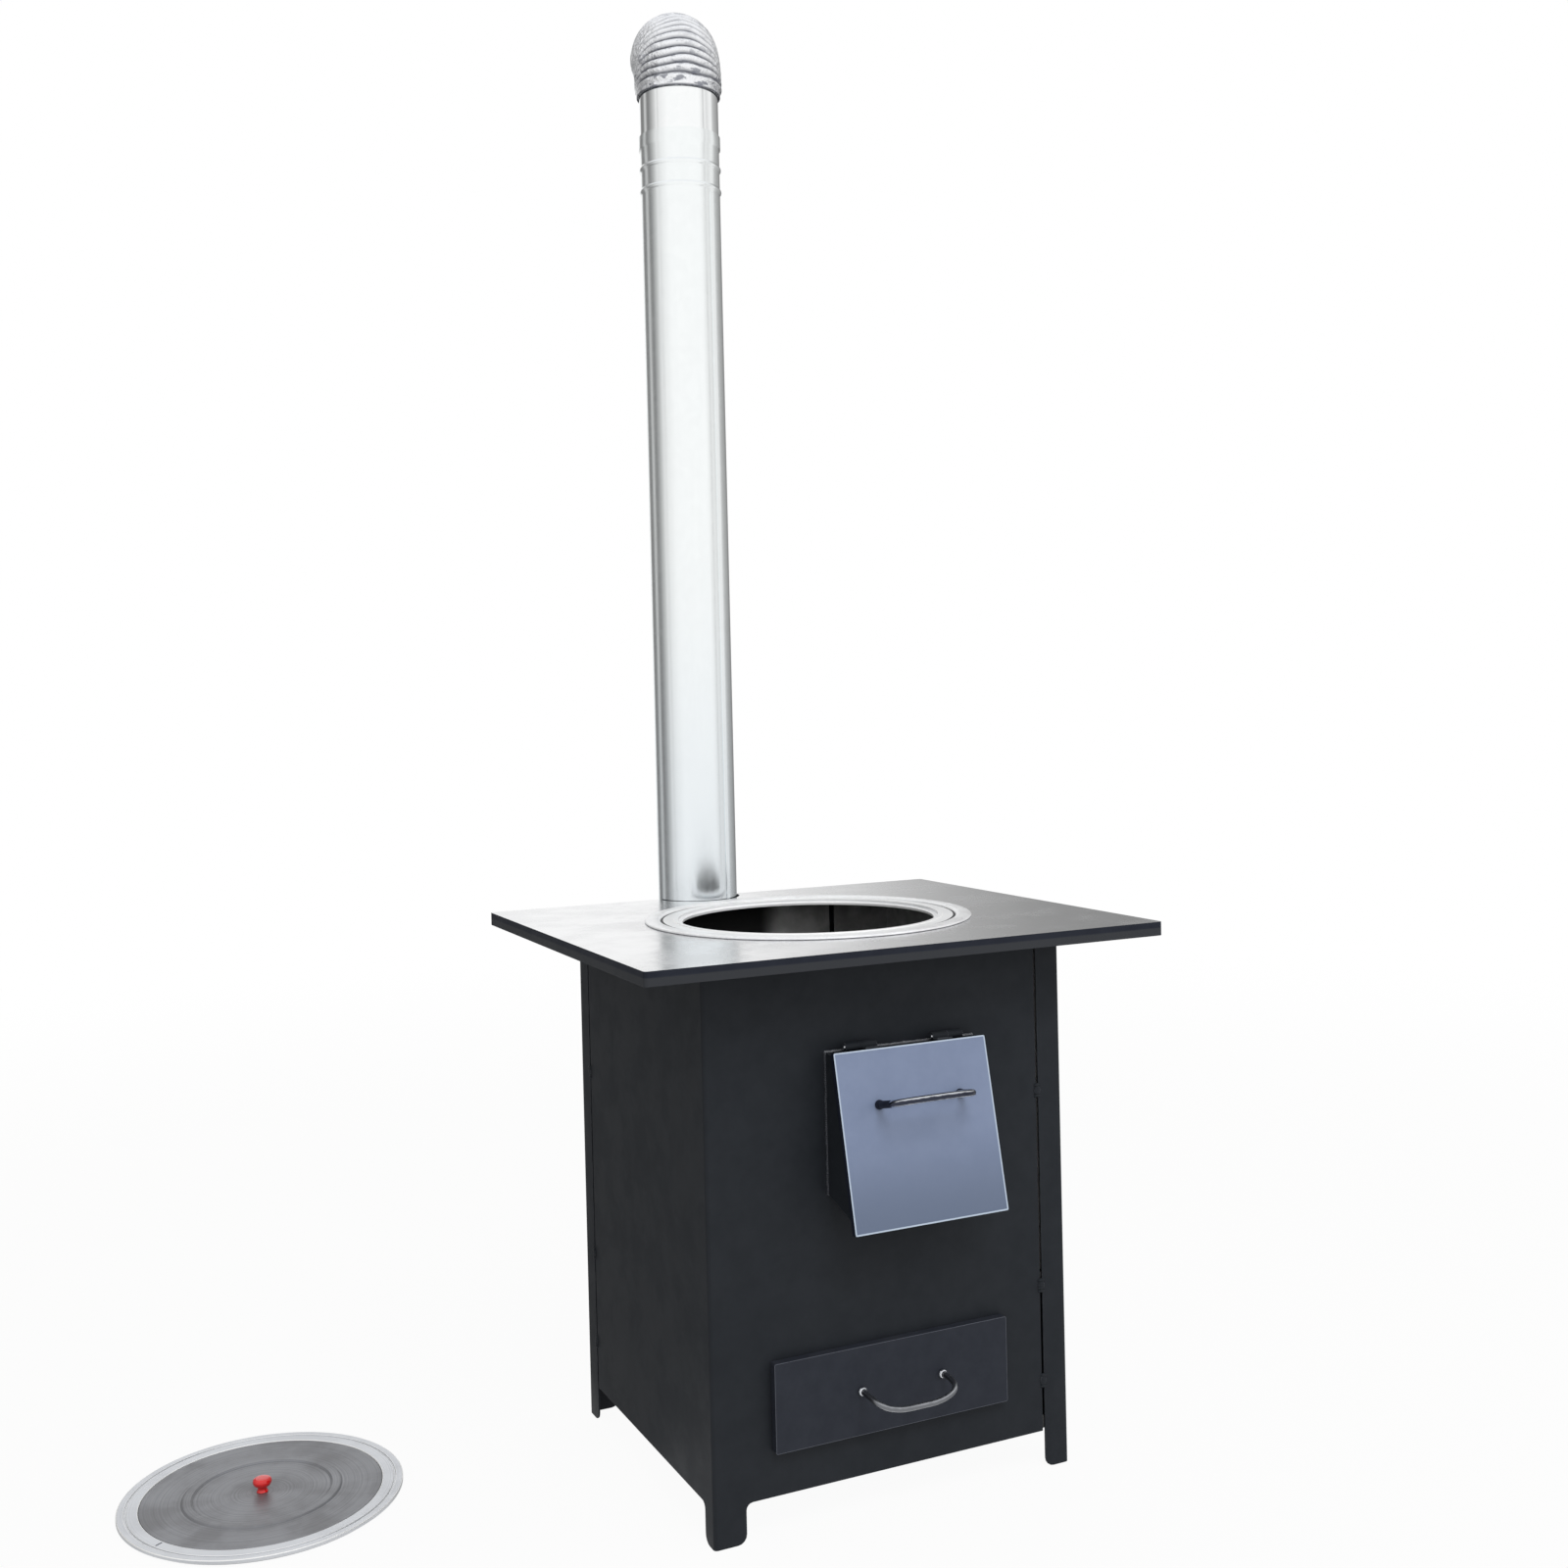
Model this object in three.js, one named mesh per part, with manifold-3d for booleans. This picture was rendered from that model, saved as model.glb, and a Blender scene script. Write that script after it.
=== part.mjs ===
// Camping wood stove: a sheet-metal firebox on four folded legs, with a cooking table, a ring nest in
// its mouth, a sloping feeder hood, an ash drawer and a chimney pipe with a corrugated cowl.
// Millimetres, +Z up, front towards -Y.

import * as THREE from "three";
import { mergeVertices } from "three/addons/utils/BufferGeometryUtils.js";
import Module from "manifold-3d";

const wasm = await Module();
wasm.setup();

// Fits shared by all pieces
const seatGap = 0.3;
const slideGap = 1;
const overrun = 10;
const samePoint = 1e-3;

// Table top
const tableWidth = 600;
const tableDepth = 525;
const tableHeight = 600;
const tableSheet = 3;
const tableEdgeDrop = 15;
const tableCornerRadius = 4;
const mouthHoleRadius = 176;

// Body sheets, folded from two blanks that meet at two open seams
const bodyWidth = 426;
const bodyDepth = 380;
const panelSheet = 2;
const panelBottom = 40.5;
const foldRadius = 4;
const flangeWidth = 30;
const seamGap = 3;
const legWidth = 36;
const frontLegSide = 23;
const legFillet = 7;
const footRadius = 10;
const weldLength = 12;
const weldWidth = 9;
const weldCrown = 1.6;
const weldHeights = [96, 201, 416];
const weldSides = 8;
const weldRings = 6;

// Ash space
const basePlateSheet = 2;
const basePlateLip = 12;
const basePlateRaise = 2;
const drawerX = -9;
const drawerFrontWidth = 276;
const drawerFrontHeight = 92;
const drawerFrontBottom = 87.5;
const drawerFrontDepth = 10;
const drawerSheet = 1.5;
const trayWidth = 250;
const trayHeight = 78;
const trayLength = 300;
const trayRadius = 5;
const drawerHoleMargin = 3;
const runnerSheet = 2;
const runnerLedge = 18;
const runnerFoot = 16;
const runnerRearGap = 20;
const runnerFoldRadius = 3;

// Firebox
const grateShelfHeight = 215;
const grateShelfSheet = 3;
const grateShelfFlange = 15;
const grateWidth = 190;
const grateRest = 8;
const grateFlange = 5;
const grateBody = 7;
const grateRadius = 8;
const grateSlotCount = 7;
const grateSlotWidth = 13;
const grateSlotMargin = 16;
const linerSheet = 2;
const linerInset = 6;
const linerHeadroom = 4;
const linerSeamX = 122;
const linerSeamWidth = 7;

// Ring nest, heights counted from the table's face
const nestClearance = 0.5;
const nestLedge = 5;
const nestLip = 2.3;
const nestLedgeTop = -1.5;
const nestBottom = -4.5;
const outerRingRadius = 187;
const outerRingHole = 149;
const outerRimWidth = 18;
const outerRimHeight = 3.4;
const outerFlatHeight = 1.5;
const outerRimShares = [[0.92, 0.72], [0.68, 1], [0.32, 1], [0.08, 0.72]];
const middleRingHole = 126.5;
const ringGrooveWidth = 1.6;
const ringGrooveDepth = 1.5;
const middleGrooveRadius = 139.8;
const ringSlotWidth = 2.4;
const outerSlotAngle = -7.5;
const outerSlotStart = 154;
const outerSlotEnd = 182;
const middleSlotAngle = 212;
const middleSlotStart = 128.5;
const middleSlotEnd = 136.5;
const ringSides = 48;
const lidStepRadius = 84;
const lidStepWidth = 10;
const lidStepHeight = 1.4;
const knobRadius = 10;
const knobHeight = 15;
const knobShankRadius = 3;
const knobSides = 20;
const knobShares = [[0.62, 0], [0.48, 0.3], [0.92, 0.55], [1, 0.75], [0.78, 0.94], [0, 1]];
const looseRingsX = -600;
const looseRingsY = 150;

// Chimney
const flueX = -29;
const flueDrop = 120;
const pipeRadius = 50;
const pipeWall = 1;
const pipeSides = 40;
const pipeAxisSetBack = 70;
const elbowBendRadius = 60;
const elbowMitres = 3;
const elbowMitreShare = 0.5;
const spigotLength = 48;
const spigotTaper = 4;
const collarWidth = 124;
const collarSheet = 2;
const collarRadius = 12;
const collarStub = 12;
const collarInnerReach = 5;
const collarScrewInset = 11;
const tableNotchGap = 3;
const pipeLength = 1022;
const socketLength = 15;
const socketFlare = 1.6;
const beadDrops = [69, 41];
const beadRise = 1.8;
const beadHalf = 4;
const lockSeamWidth = 6;
const lockSeamRise = 0.9;
const lockSeamAngle = -62;
const neckRise = 56;
const hoseLap = 5;
const hoseCrestRadius = 55.5;
const hoseValleyRadius = 52.2;
const hoseBoreRadius = 50.7;
const hoseCuffRadius = 53;
const hoseCuff = 5;
const hoseBendRadius = 66;
const hoseBendAngle = 96;
const hoseRibs = 16;
const hoseValleyShare = 0.25;
const hoseCrestShare = 0.75;
const hoseHeading = -17;
const hoseBoreSteps = 5;
const hoseSides = 28;

// Feeder
const feederX = 11;
const feederWidth = 176;
const feederSheet = 2;
const feederTableGap = 113.5;
const feederHeight = 146.5;
const feederLipDrop = 18;
const throatReach = 8;
const throatOverlap = 6;
const throatSheet = 2;
const doorTilt = 13;
const doorSideLap = 2;
const doorEndLap = 12;
const doorSheet = 1.2;
const doorEdge = 7;
const doorSetBack = 14;
const doorDrop = 5;
const doorMouthGap = 2;
const hingeSetOut = 8.5;
const hingeRadius = 4.5;
const hingePinRadius = 2;
const hingePinHead = 3.4;
const hingePinHeadLength = 1.2;
const hingeBarrelLength = 18;
const hingeSpread = 52;
const hingeLeaf = 2;
const hingeSides = 14;

// Handles
const handleSpacing = 96;
const feederHandleRod = 4;
const feederHandleReach = 38;
const feederHandleArch = 1;
const feederHandleDrop = 56.5;
const feederHandleShift = 2.5;
const drawerHandleRod = 3;
const drawerHandleReach = 38;
const drawerHandleSag = 11;
const drawerHandleShift = 9;
const handleFootRadius = 5;
const handleFootLength = 4;
const handleSteps = 20;
const handleSides = 8;
const handleSpanShares = [-0.5, -0.5, -0.465, -0.36, 0, 0.36, 0.465, 0.5, 0.5];
const handleReachShares = [0, 0.5, 0.82, 0.96, 1, 0.96, 0.82, 0.5, 0];
const handleBowShares = [0, 0.05, 0.3, 0.7, 1, 0.7, 0.3, 0.05, 0];

// Screws
const screwRadius = 2;
const screwHoleRadius = 2.4;
const screwHeadRadius = 4.4;
const screwHeadHeight = 2.6;
const screwCrownShare = 0.7;
const screwEdgeShare = 0.5;
const screwBite = 6;
const screwSides = 10;

// Places that follow from the driving dimensions
const halfWidth = bodyWidth / 2;
const halfDepth = bodyDepth / 2;
const wallTop = tableHeight - tableSheet - seatGap;
const basePlateTop = panelBottom + basePlateRaise + basePlateSheet;
const linerHalfWidth = halfWidth - panelSheet - linerInset;
const linerHalfDepth = halfDepth - panelSheet - linerInset;
const drawerCentreHeight = drawerFrontBottom + drawerFrontHeight / 2;
const trayBottom = drawerCentreHeight - trayHeight / 2 - slideGap;
const trayFrontY = -halfDepth - drawerFrontDepth + drawerSheet + seatGap;
const flueHeight = tableHeight - flueDrop;
const pipeY = halfDepth + pipeAxisSetBack;
const pipeBottom = flueHeight + elbowBendRadius + spigotTaper / 2;
const pipeTop = pipeBottom + pipeLength;
const neckTop = pipeTop + neckRise;
const hoseBottom = neckTop - hoseLap;
const boreRadius = pipeRadius - pipeWall;
const stubRadius = boreRadius - seatGap;
const feederTop = tableHeight - feederTableGap;
const feederBottom = feederTop - feederHeight;
const doorWidth = feederWidth + 2 * doorSideLap;
const hingeY = -halfDepth - hingeSetOut;
const hingeZ = feederTop + hingeRadius + seatGap;
const throatHalfWidth = feederWidth / 2 - feederSheet - seatGap;
const throatBottom = feederBottom + feederSheet + seatGap;
const throatTop = feederTop - feederSheet - seatGap;
const arcSteps = 4;
const radians = THREE.MathUtils.degToRad;
const doorLength = (feederHeight + feederLipDrop) / Math.cos(radians(doorTilt)) + doorEndLap;

// Shape helpers

// A closed outline through corners given as [x, y, radius]; a corner with no radius stays sharp.
function outline(corners) {
  const points = [];
  corners.forEach(([x, y, radius = 0], i) => {
    const corner = new THREE.Vector2(x, y);
    if (radius <= 0) {
      points.push(corner);
      return;
    }
    const before = corners.at(i - 1);
    const after = corners[(i + 1) % corners.length];
    const toBefore = new THREE.Vector2(before[0] - x, before[1] - y).normalize();
    const toAfter = new THREE.Vector2(after[0] - x, after[1] - y).normalize();
    const half = Math.acos(THREE.MathUtils.clamp(toBefore.dot(toAfter), -1, 1)) / 2;
    const towards = toBefore.clone().add(toAfter).normalize();
    const centre = corner.clone().addScaledVector(towards, radius / Math.sin(half));
    const start = corner.clone().addScaledVector(toBefore, radius / Math.tan(half));
    const sweep = -Math.sign(toBefore.cross(toAfter)) * (Math.PI - 2 * half);
    for (let step = 0; step <= arcSteps; step++)
      points.push(start.clone().rotateAround(centre, (sweep * step) / arcSteps));
  });
  const apart = (point, i) => point.distanceTo(points.at(i - 1)) > samePoint;
  return new THREE.Shape(points.filter(apart));
}

function rectangle(x, y, width, height, radius = 0) {
  const left = x - width / 2;
  const right = x + width / 2;
  const low = y - height / 2;
  const high = y + height / 2;
  return outline([
    [left, low, radius],
    [right, low, radius],
    [right, high, radius],
    [left, high, radius],
  ]);
}

// A strip of sheet folded at right angles along a path, its thickness on the path's left.
function foldedStrip(path, sheet, radius) {
  const at = path.map(([x, y]) => new THREE.Vector2(x, y));
  const along = at.slice(1).map((point, i) => point.clone().sub(at[i]).normalize());
  const near = [];
  const far = [];
  at.forEach((point, i) => {
    const runs = [along[i - 1], along[i]].filter(Boolean);
    const other = point.clone();
    runs.forEach(({ x, y }) => other.add(new THREE.Vector2(-y, x).multiplyScalar(sheet)));
    const turn = runs.length === 2 ? Math.sign(runs[0].cross(runs[1])) : 0;
    near.push([point.x, point.y, turn > 0 ? radius : turn < 0 ? radius - sheet : 0]);
    far.unshift([other.x, other.y, turn > 0 ? radius - sheet : turn < 0 ? radius : 0]);
  });
  return outline([...near, ...far]);
}

function extruded(shape, length) {
  return new THREE.ExtrudeGeometry(shape, { depth: length, bevelEnabled: false });
}

// Prisms of an outline drawn in (y, z), (x, z) or (x, y), running between two places on the third axis.
function prismX(shape, from, to) {
  const turn = new THREE.Matrix4().makeBasis(
    new THREE.Vector3(0, 1, 0),
    new THREE.Vector3(0, 0, 1),
    new THREE.Vector3(1, 0, 0),
  );
  return extruded(shape, to - from).applyMatrix4(turn).translate(from, 0, 0);
}

function prismY(shape, from, to) {
  return extruded(shape, to - from).rotateX(Math.PI / 2).translate(0, to, 0);
}

function prismZ(shape, from, to) {
  return extruded(shape, to - from).translate(0, 0, from);
}

function rodZ(radius, from, to, sides) {
  const rod = new THREE.CylinderGeometry(radius, radius, to - from, sides);
  return rod.rotateX(Math.PI / 2).translate(0, 0, (from + to) / 2);
}

function rodY(radius, from, to, sides) {
  const rod = new THREE.CylinderGeometry(radius, radius, to - from, sides);
  return rod.translate(0, (from + to) / 2, 0);
}

function rodX(radius, from, to, sides) {
  const rod = new THREE.CylinderGeometry(radius, radius, to - from, sides);
  return rod.rotateZ(Math.PI / 2).translate((from + to) / 2, 0, 0);
}

// A body turned about the Z axis from a closed profile of [radius, height] points.
function turned(profile, sides) {
  const points = profile.map(([radius, height]) => new THREE.Vector2(radius, height));
  if (profile[0][0] > 0) points.push(points[0].clone());
  return new THREE.LatheGeometry(points, sides).rotateX(Math.PI / 2);
}

function solidOf(geometry) {
  const bare = geometry.clone();
  bare.deleteAttribute("normal");
  bare.deleteAttribute("uv");
  const merged = mergeVertices(bare, samePoint);
  const mesh = new wasm.Mesh({
    numProp: 3,
    vertProperties: merged.attributes.position.array,
    triVerts: new Uint32Array(merged.index.array),
  });
  return new wasm.Manifold(mesh);
}

function geometryOf(solid) {
  const { vertProperties, triVerts } = solid.getMesh();
  const geometry = new THREE.BufferGeometry();
  geometry.setAttribute("position", new THREE.BufferAttribute(vertProperties, 3));
  geometry.setIndex(new THREE.BufferAttribute(triVerts, 1));
  return geometry;
}

function cut(base, ...tools) {
  return geometryOf(tools.reduce((rest, tool) => rest.subtract(solidOf(tool)), solidOf(base)));
}

function join(...pieces) {
  return geometryOf(pieces.map(solidOf).reduce((sum, next) => sum.add(next)));
}

// An open-topped pan of folded sheet, standing on z = 0.
function pan(width, depth, height, sheet, radius) {
  const outside = prismZ(rectangle(0, 0, width, depth, radius), 0, height);
  const inside = rectangle(0, 0, width - 2 * sheet, depth - 2 * sheet, radius - sheet);
  return cut(outside, prismZ(inside, sheet, height + overrun));
}

// The wall of a tube lofted through the rings of its outside and, back again, those of its bore. Each
// ring has a centre, a radius and two directions across the tube: seen along it, a left-handed pair.
function tubeWall(outside, bore, sides) {
  const positions = [];
  const index = [];
  const rings = [...outside, ...bore.reverse()];
  rings.forEach(({ centre, across, aside, radius }) => {
    for (let side = 0; side < sides; side++) {
      const angle = (side / sides) * 2 * Math.PI;
      const point = centre
        .clone()
        .addScaledVector(across, radius * Math.cos(angle))
        .addScaledVector(aside, radius * Math.sin(angle));
      positions.push(...point.toArray());
    }
  });
  for (let row = 0; row < rings.length; row++) {
    const next = (row + 1) % rings.length;
    for (let side = 0; side < sides; side++) {
      const beside = (side + 1) % sides;
      const [a, b] = [row * sides + side, row * sides + beside];
      const [c, d] = [next * sides + side, next * sides + beside];
      index.push(a, d, b, a, c, d);
    }
  }
  const geometry = new THREE.BufferGeometry();
  geometry.setAttribute("position", new THREE.Float32BufferAttribute(positions, 3));
  geometry.setIndex(index);
  return geometry;
}

function material(color, roughness, metalness) {
  return () => new THREE.MeshStandardMaterial({ color, roughness, metalness });
}

const blackPaint = material(0x2d2f33, 0.5, 0.2);
const insideSteel = material(0x3c3c3f, 0.7, 0.4);
const tableSteel = material(0x8d9094, 0.35, 0.7);
const brightSteel = material(0xc6c9cc, 0.3, 0.9);
const castIron = material(0x2a2a2c, 0.8, 0.3);
const bluePaint = material(0x7b89a5, 0.4, 0.4);
const galvanised = material(0xc9d0d2, 0.3, 0.85);
const aluminium = material(0xd7dfe6, 0.3, 0.9);
const redKnob = material(0xe50408, 0.45, 0);

function piece(name, geometry, finish) {
  const mesh = new THREE.Mesh(geometry, finish());
  mesh.name = name;
  return mesh;
}

function placed(group, x, y, z) {
  group.position.set(x, y, z);
  return group;
}

// Body shells

// What is cut away between two legs: an apron line with round inner corners and rounded feet.
function legWindow(from, to) {
  return outline([
    [from - footRadius, -overrun],
    [from - footRadius, 0],
    [from, 0, footRadius],
    [from, panelBottom, legFillet],
    [to, panelBottom, legFillet],
    [to, 0, footRadius],
    [to + footRadius, 0],
    [to + footRadius, -overrun],
  ]);
}

// Cutters that go through a wall at the given side of the body
const throughFront = (shape) => prismY(shape, -halfDepth - overrun, -halfDepth + foldRadius);
const throughRear = (shape) => prismY(shape, halfDepth - foldRadius, halfDepth + overrun);
const throughLeft = (shape) => prismX(shape, -halfWidth - overrun, -halfWidth + foldRadius);
const throughRight = (shape) => prismX(shape, halfWidth - foldRadius, halfWidth + overrun);

const frontSeam = halfWidth - flangeWidth;
const leftSeam = halfDepth - flangeWidth;

function throatOutline(gap) {
  const width = 2 * (throatHalfWidth + gap);
  const height = throatTop - throatBottom + 2 * gap;
  return rectangle(feederX, (throatTop + throatBottom) / 2, width, height, throatSheet + gap);
}

function drawerOpening() {
  const width = trayWidth + 2 * drawerHoleMargin;
  const height = trayHeight + 2 * drawerHoleMargin;
  return rectangle(drawerX, trayBottom + trayHeight / 2, width, height);
}

function frontLeftShell() {
  const path = [
    [-halfWidth, leftSeam - seamGap],
    [-halfWidth, -halfDepth],
    [frontSeam - seamGap, -halfDepth],
  ];
  const frontEnd = frontSeam + overrun + footRadius;
  const leftEnd = leftSeam + overrun + footRadius;
  return cut(
    prismZ(foldedStrip(path, panelSheet, foldRadius), 0, wallTop),
    throughFront(legWindow(-halfWidth + legWidth, frontEnd)),
    throughLeft(legWindow(-halfDepth + frontLegSide, leftEnd)),
    throughFront(throatOutline(seatGap)),
    throughFront(drawerOpening()),
  );
}

function tackWeld(x, y, z, turn) {
  const bead = new THREE.SphereGeometry(1, weldSides, weldRings);
  return bead
    .scale(weldWidth / 2, weldCrown, weldLength / 2)
    .rotateZ(turn)
    .translate(x, y, z);
}

function rearRightShell() {
  const path = [
    [frontSeam, -halfDepth],
    [halfWidth, -halfDepth],
    [halfWidth, halfDepth],
    [-halfWidth, halfDepth],
    [-halfWidth, leftSeam],
  ];
  const sheet = cut(
    prismZ(foldedStrip(path, panelSheet, foldRadius), 0, wallTop),
    throughFront(legWindow(0, frontSeam)),
    throughLeft(legWindow(0, leftSeam)),
    throughRight(legWindow(-halfDepth + frontLegSide, halfDepth - legWidth)),
    throughRear(legWindow(-halfWidth + legWidth, halfWidth - legWidth)),
    rodY(stubRadius + seatGap, halfDepth - overrun, halfDepth + overrun, pipeSides)
      .translate(flueX, 0, flueHeight),
    ...collarScrewPlaces().map(([x, z]) => collarScrewHole().translate(x, 0, z)),
  );
  const welds = weldHeights.flatMap((height) => [
    tackWeld(frontSeam - seamGap / 2, -halfDepth, height, 0),
    tackWeld(-halfWidth, leftSeam - seamGap / 2, height, Math.PI / 2),
  ]);
  const reach = seamGap + weldWidth;
  const frontSheet = rectangle(frontSeam - seamGap + seatGap - reach, -halfDepth, 2 * reach, 2 * overrun);
  const leftSheet = rectangle(-halfWidth, leftSeam - seamGap + seatGap - reach, 2 * overrun, 2 * reach);
  const keepFront = prismZ(frontSheet, 0, wallTop).translate(0, overrun - seatGap, 0);
  const keepLeft = prismZ(leftSheet, 0, wallTop).translate(overrun - seatGap, 0, 0);
  return join(sheet, cut(join(...welds), keepFront, keepLeft));
}

// Ash space

function basePlate() {
  const width = bodyWidth - 2 * (panelSheet + seatGap);
  const depth = bodyDepth - 2 * (panelSheet + seatGap);
  const plate = pan(width, depth, basePlateSheet + basePlateLip, basePlateSheet, foldRadius);
  return plate.translate(0, 0, panelBottom + basePlateRaise);
}

// A folded rail on the base plate, whose ledge carries one edge of the ash tray.
function drawerRunner(side) {
  const web = trayWidth / 2 - runnerLedge;
  const ledge = trayBottom - seatGap - runnerSheet;
  const foot = basePlateTop + seatGap;
  const path = [
    [web - runnerFoot, foot],
    [web, foot],
    [web, ledge],
    [web + runnerLedge, ledge],
  ].map(([x, z]) => [drawerX + side * x, z]);
  const profile = foldedStrip(side > 0 ? path : path.reverse(), runnerSheet, runnerFoldRadius);
  const lipEdge = panelSheet + 2 * seatGap + basePlateSheet;
  return prismY(profile, -halfDepth + lipEdge, halfDepth - lipEdge - runnerRearGap);
}

function drawerFront() {
  const depth = drawerFrontDepth - seatGap;
  const front = pan(drawerFrontWidth, drawerFrontHeight, depth, drawerSheet, drawerSheet + seatGap);
  const holes = handleFeet(drawerHandleShift).map((x) =>
    rodZ(screwHoleRadius, -overrun, depth + overrun, screwSides).translate(x, 0, 0),
  );
  return cut(front, ...holes).rotateX(-Math.PI / 2);
}

function drawerTray() {
  const tray = pan(trayWidth, trayLength, trayHeight, drawerSheet, trayRadius);
  const holes = handleFeet(drawerHandleShift).map((x) =>
    rodY(screwHoleRadius, -overrun, overrun, screwSides).translate(
      x,
      -trayLength / 2,
      drawerCentreHeight - trayBottom,
    ),
  );
  return cut(tray, ...holes);
}

// Firebox

function grateShelf() {
  const width = bodyWidth - 2 * (panelSheet + seatGap);
  const depth = bodyDepth - 2 * (panelSheet + seatGap);
  const height = grateShelfSheet + grateShelfFlange;
  const shelf = pan(width, depth, height, grateShelfSheet, foldRadius).rotateX(Math.PI);
  const hole = grateWidth - 2 * grateRest;
  const opening = prismZ(rectangle(0, 0, hole, hole, grateRadius), -overrun, overrun);
  return cut(shelf, opening).translate(0, 0, grateShelfHeight);
}

function grate() {
  const inner = grateWidth - 2 * grateRest - 2 * slideGap;
  const flange = prismZ(rectangle(0, 0, grateWidth, grateWidth, grateRadius), 0, grateFlange);
  const body = prismZ(rectangle(0, 0, inner, inner, grateRadius), -grateBody, grateFlange);
  const pitch = (inner - grateSlotMargin) / grateSlotCount;
  const slots = Array.from({ length: grateSlotCount }, (_, i) => {
    const x = (i - (grateSlotCount - 1) / 2) * pitch;
    const slot = rectangle(x, 0, grateSlotWidth, inner - grateSlotMargin, grateSlotWidth / 2 - seatGap);
    return prismZ(slot, -grateBody - overrun, grateFlange + overrun);
  });
  return cut(join(flange, body), ...slots);
}

function fireboxLiner() {
  const path = [
    [linerSeamX - linerSeamWidth / 2, linerHalfDepth],
    [-linerHalfWidth, linerHalfDepth],
    [-linerHalfWidth, -linerHalfDepth],
    [linerHalfWidth, -linerHalfDepth],
    [linerHalfWidth, linerHalfDepth],
    [linerSeamX + linerSeamWidth / 2, linerHalfDepth],
  ];
  const top = tableHeight - tableSheet - linerHeadroom;
  const flueHole = rodY(stubRadius + slideGap, 0, halfDepth, pipeSides);
  return cut(
    prismZ(foldedStrip(path, linerSheet, foldRadius), grateShelfHeight + seatGap, top),
    prismY(throatOutline(slideGap), -linerHalfDepth - overrun, 0),
    flueHole.translate(flueX, 0, flueHeight),
  );
}

// Table top and ring nest

function tableTop() {
  const table = pan(tableWidth, tableDepth, tableEdgeDrop, tableSheet, tableCornerRadius);
  const notch = rodZ(pipeRadius + tableNotchGap, -overrun, tableEdgeDrop + overrun, pipeSides);
  return cut(
    table.rotateX(Math.PI),
    rodZ(mouthHoleRadius, -overrun, overrun, ringSides),
    notch.rotateX(Math.PI).translate(flueX, pipeY, 0),
  );
}

// A radial expansion slot through a ring
function ringSlot(start, end, angle) {
  const slot = rectangle((start + end) / 2, 0, end - start, ringSlotWidth, ringSlotWidth / 2 - seatGap);
  return prismZ(slot, -overrun, overrun).rotateZ(radians(angle));
}

function outerRing() {
  const rim = outerRingRadius - outerRimWidth;
  const spigot = mouthHoleRadius - nestClearance;
  const chamfer = outerFlatHeight / 2;
  const profile = [
    [outerRingHole - nestLedge, nestBottom],
    [spigot, nestBottom],
    [spigot, seatGap],
    [outerRingRadius - chamfer, seatGap],
    [outerRingRadius, seatGap + chamfer],
    ...outerRimShares.map(([out, up]) => [rim + outerRimWidth * out, outerRimHeight * up]),
    [rim, outerFlatHeight - ringGrooveDepth + seatGap],
    [rim - ringGrooveWidth, outerFlatHeight - ringGrooveDepth + seatGap],
    [rim - 2 * ringGrooveWidth, outerFlatHeight],
    [outerRingHole + nestLedge, outerFlatHeight],
    [outerRingHole + nestLedge, nestLip],
    [outerRingHole, nestLip],
    [outerRingHole, nestLedgeTop],
    [outerRingHole - nestLedge, nestLedgeTop],
  ];
  return cut(turned(profile, ringSides), ringSlot(outerSlotStart, outerSlotEnd, outerSlotAngle));
}

function middleRing() {
  const outside = outerRingHole - nestClearance;
  const groove = middleGrooveRadius + ringGrooveWidth / 2;
  const profile = [
    [middleRingHole - nestLedge, nestBottom],
    [outside - nestLedge, nestBottom],
    [outside - nestLedge, nestLedgeTop + seatGap],
    [outside, nestLedgeTop + seatGap],
    [outside, nestLip],
    [groove, nestLip],
    [groove, nestLip - ringGrooveDepth],
    [groove - ringGrooveWidth, nestLip - ringGrooveDepth],
    [groove - ringGrooveWidth, nestLip],
    [middleRingHole, nestLip],
    [middleRingHole, nestLedgeTop],
    [middleRingHole - nestLedge, nestLedgeTop],
  ];
  return cut(turned(profile, ringSides), ringSlot(middleSlotStart, middleSlotEnd, middleSlotAngle));
}

function mouthLid() {
  const outside = middleRingHole - nestClearance;
  const face = nestLip - seatGap;
  const profile = [
    [knobShankRadius + seatGap, nestBottom + slideGap],
    [outside - nestLedge, nestBottom + slideGap],
    [outside - nestLedge, nestLedgeTop + seatGap],
    [outside, nestLedgeTop + seatGap],
    [outside, face],
    [lidStepRadius, face],
    [lidStepRadius - lidStepHeight, face + lidStepHeight],
    [lidStepRadius - lidStepWidth, face + lidStepHeight],
    [lidStepRadius - lidStepWidth - lidStepHeight, face],
    [knobShankRadius + seatGap, face],
  ];
  return turned(profile, ringSides);
}

function lidKnob() {
  const profile = [
    [0, nestBottom + slideGap],
    [knobShankRadius, nestBottom + slideGap],
    [knobShankRadius, nestLip],
    ...knobShares.map(([out, up]) => [knobRadius * out, nestLip + knobHeight * up]),
  ];
  return turned(profile, knobSides);
}

// Flue and chimney

function collarScrewPlaces() {
  const reach = collarWidth / 2 - collarScrewInset;
  return [-1, 1].flatMap((x) => [-1, 1].map((z) => [flueX + x * reach, flueHeight + z * reach]));
}

function collarScrewHole() {
  return rodY(screwHoleRadius, halfDepth - overrun, halfDepth + overrun, screwSides);
}

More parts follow.
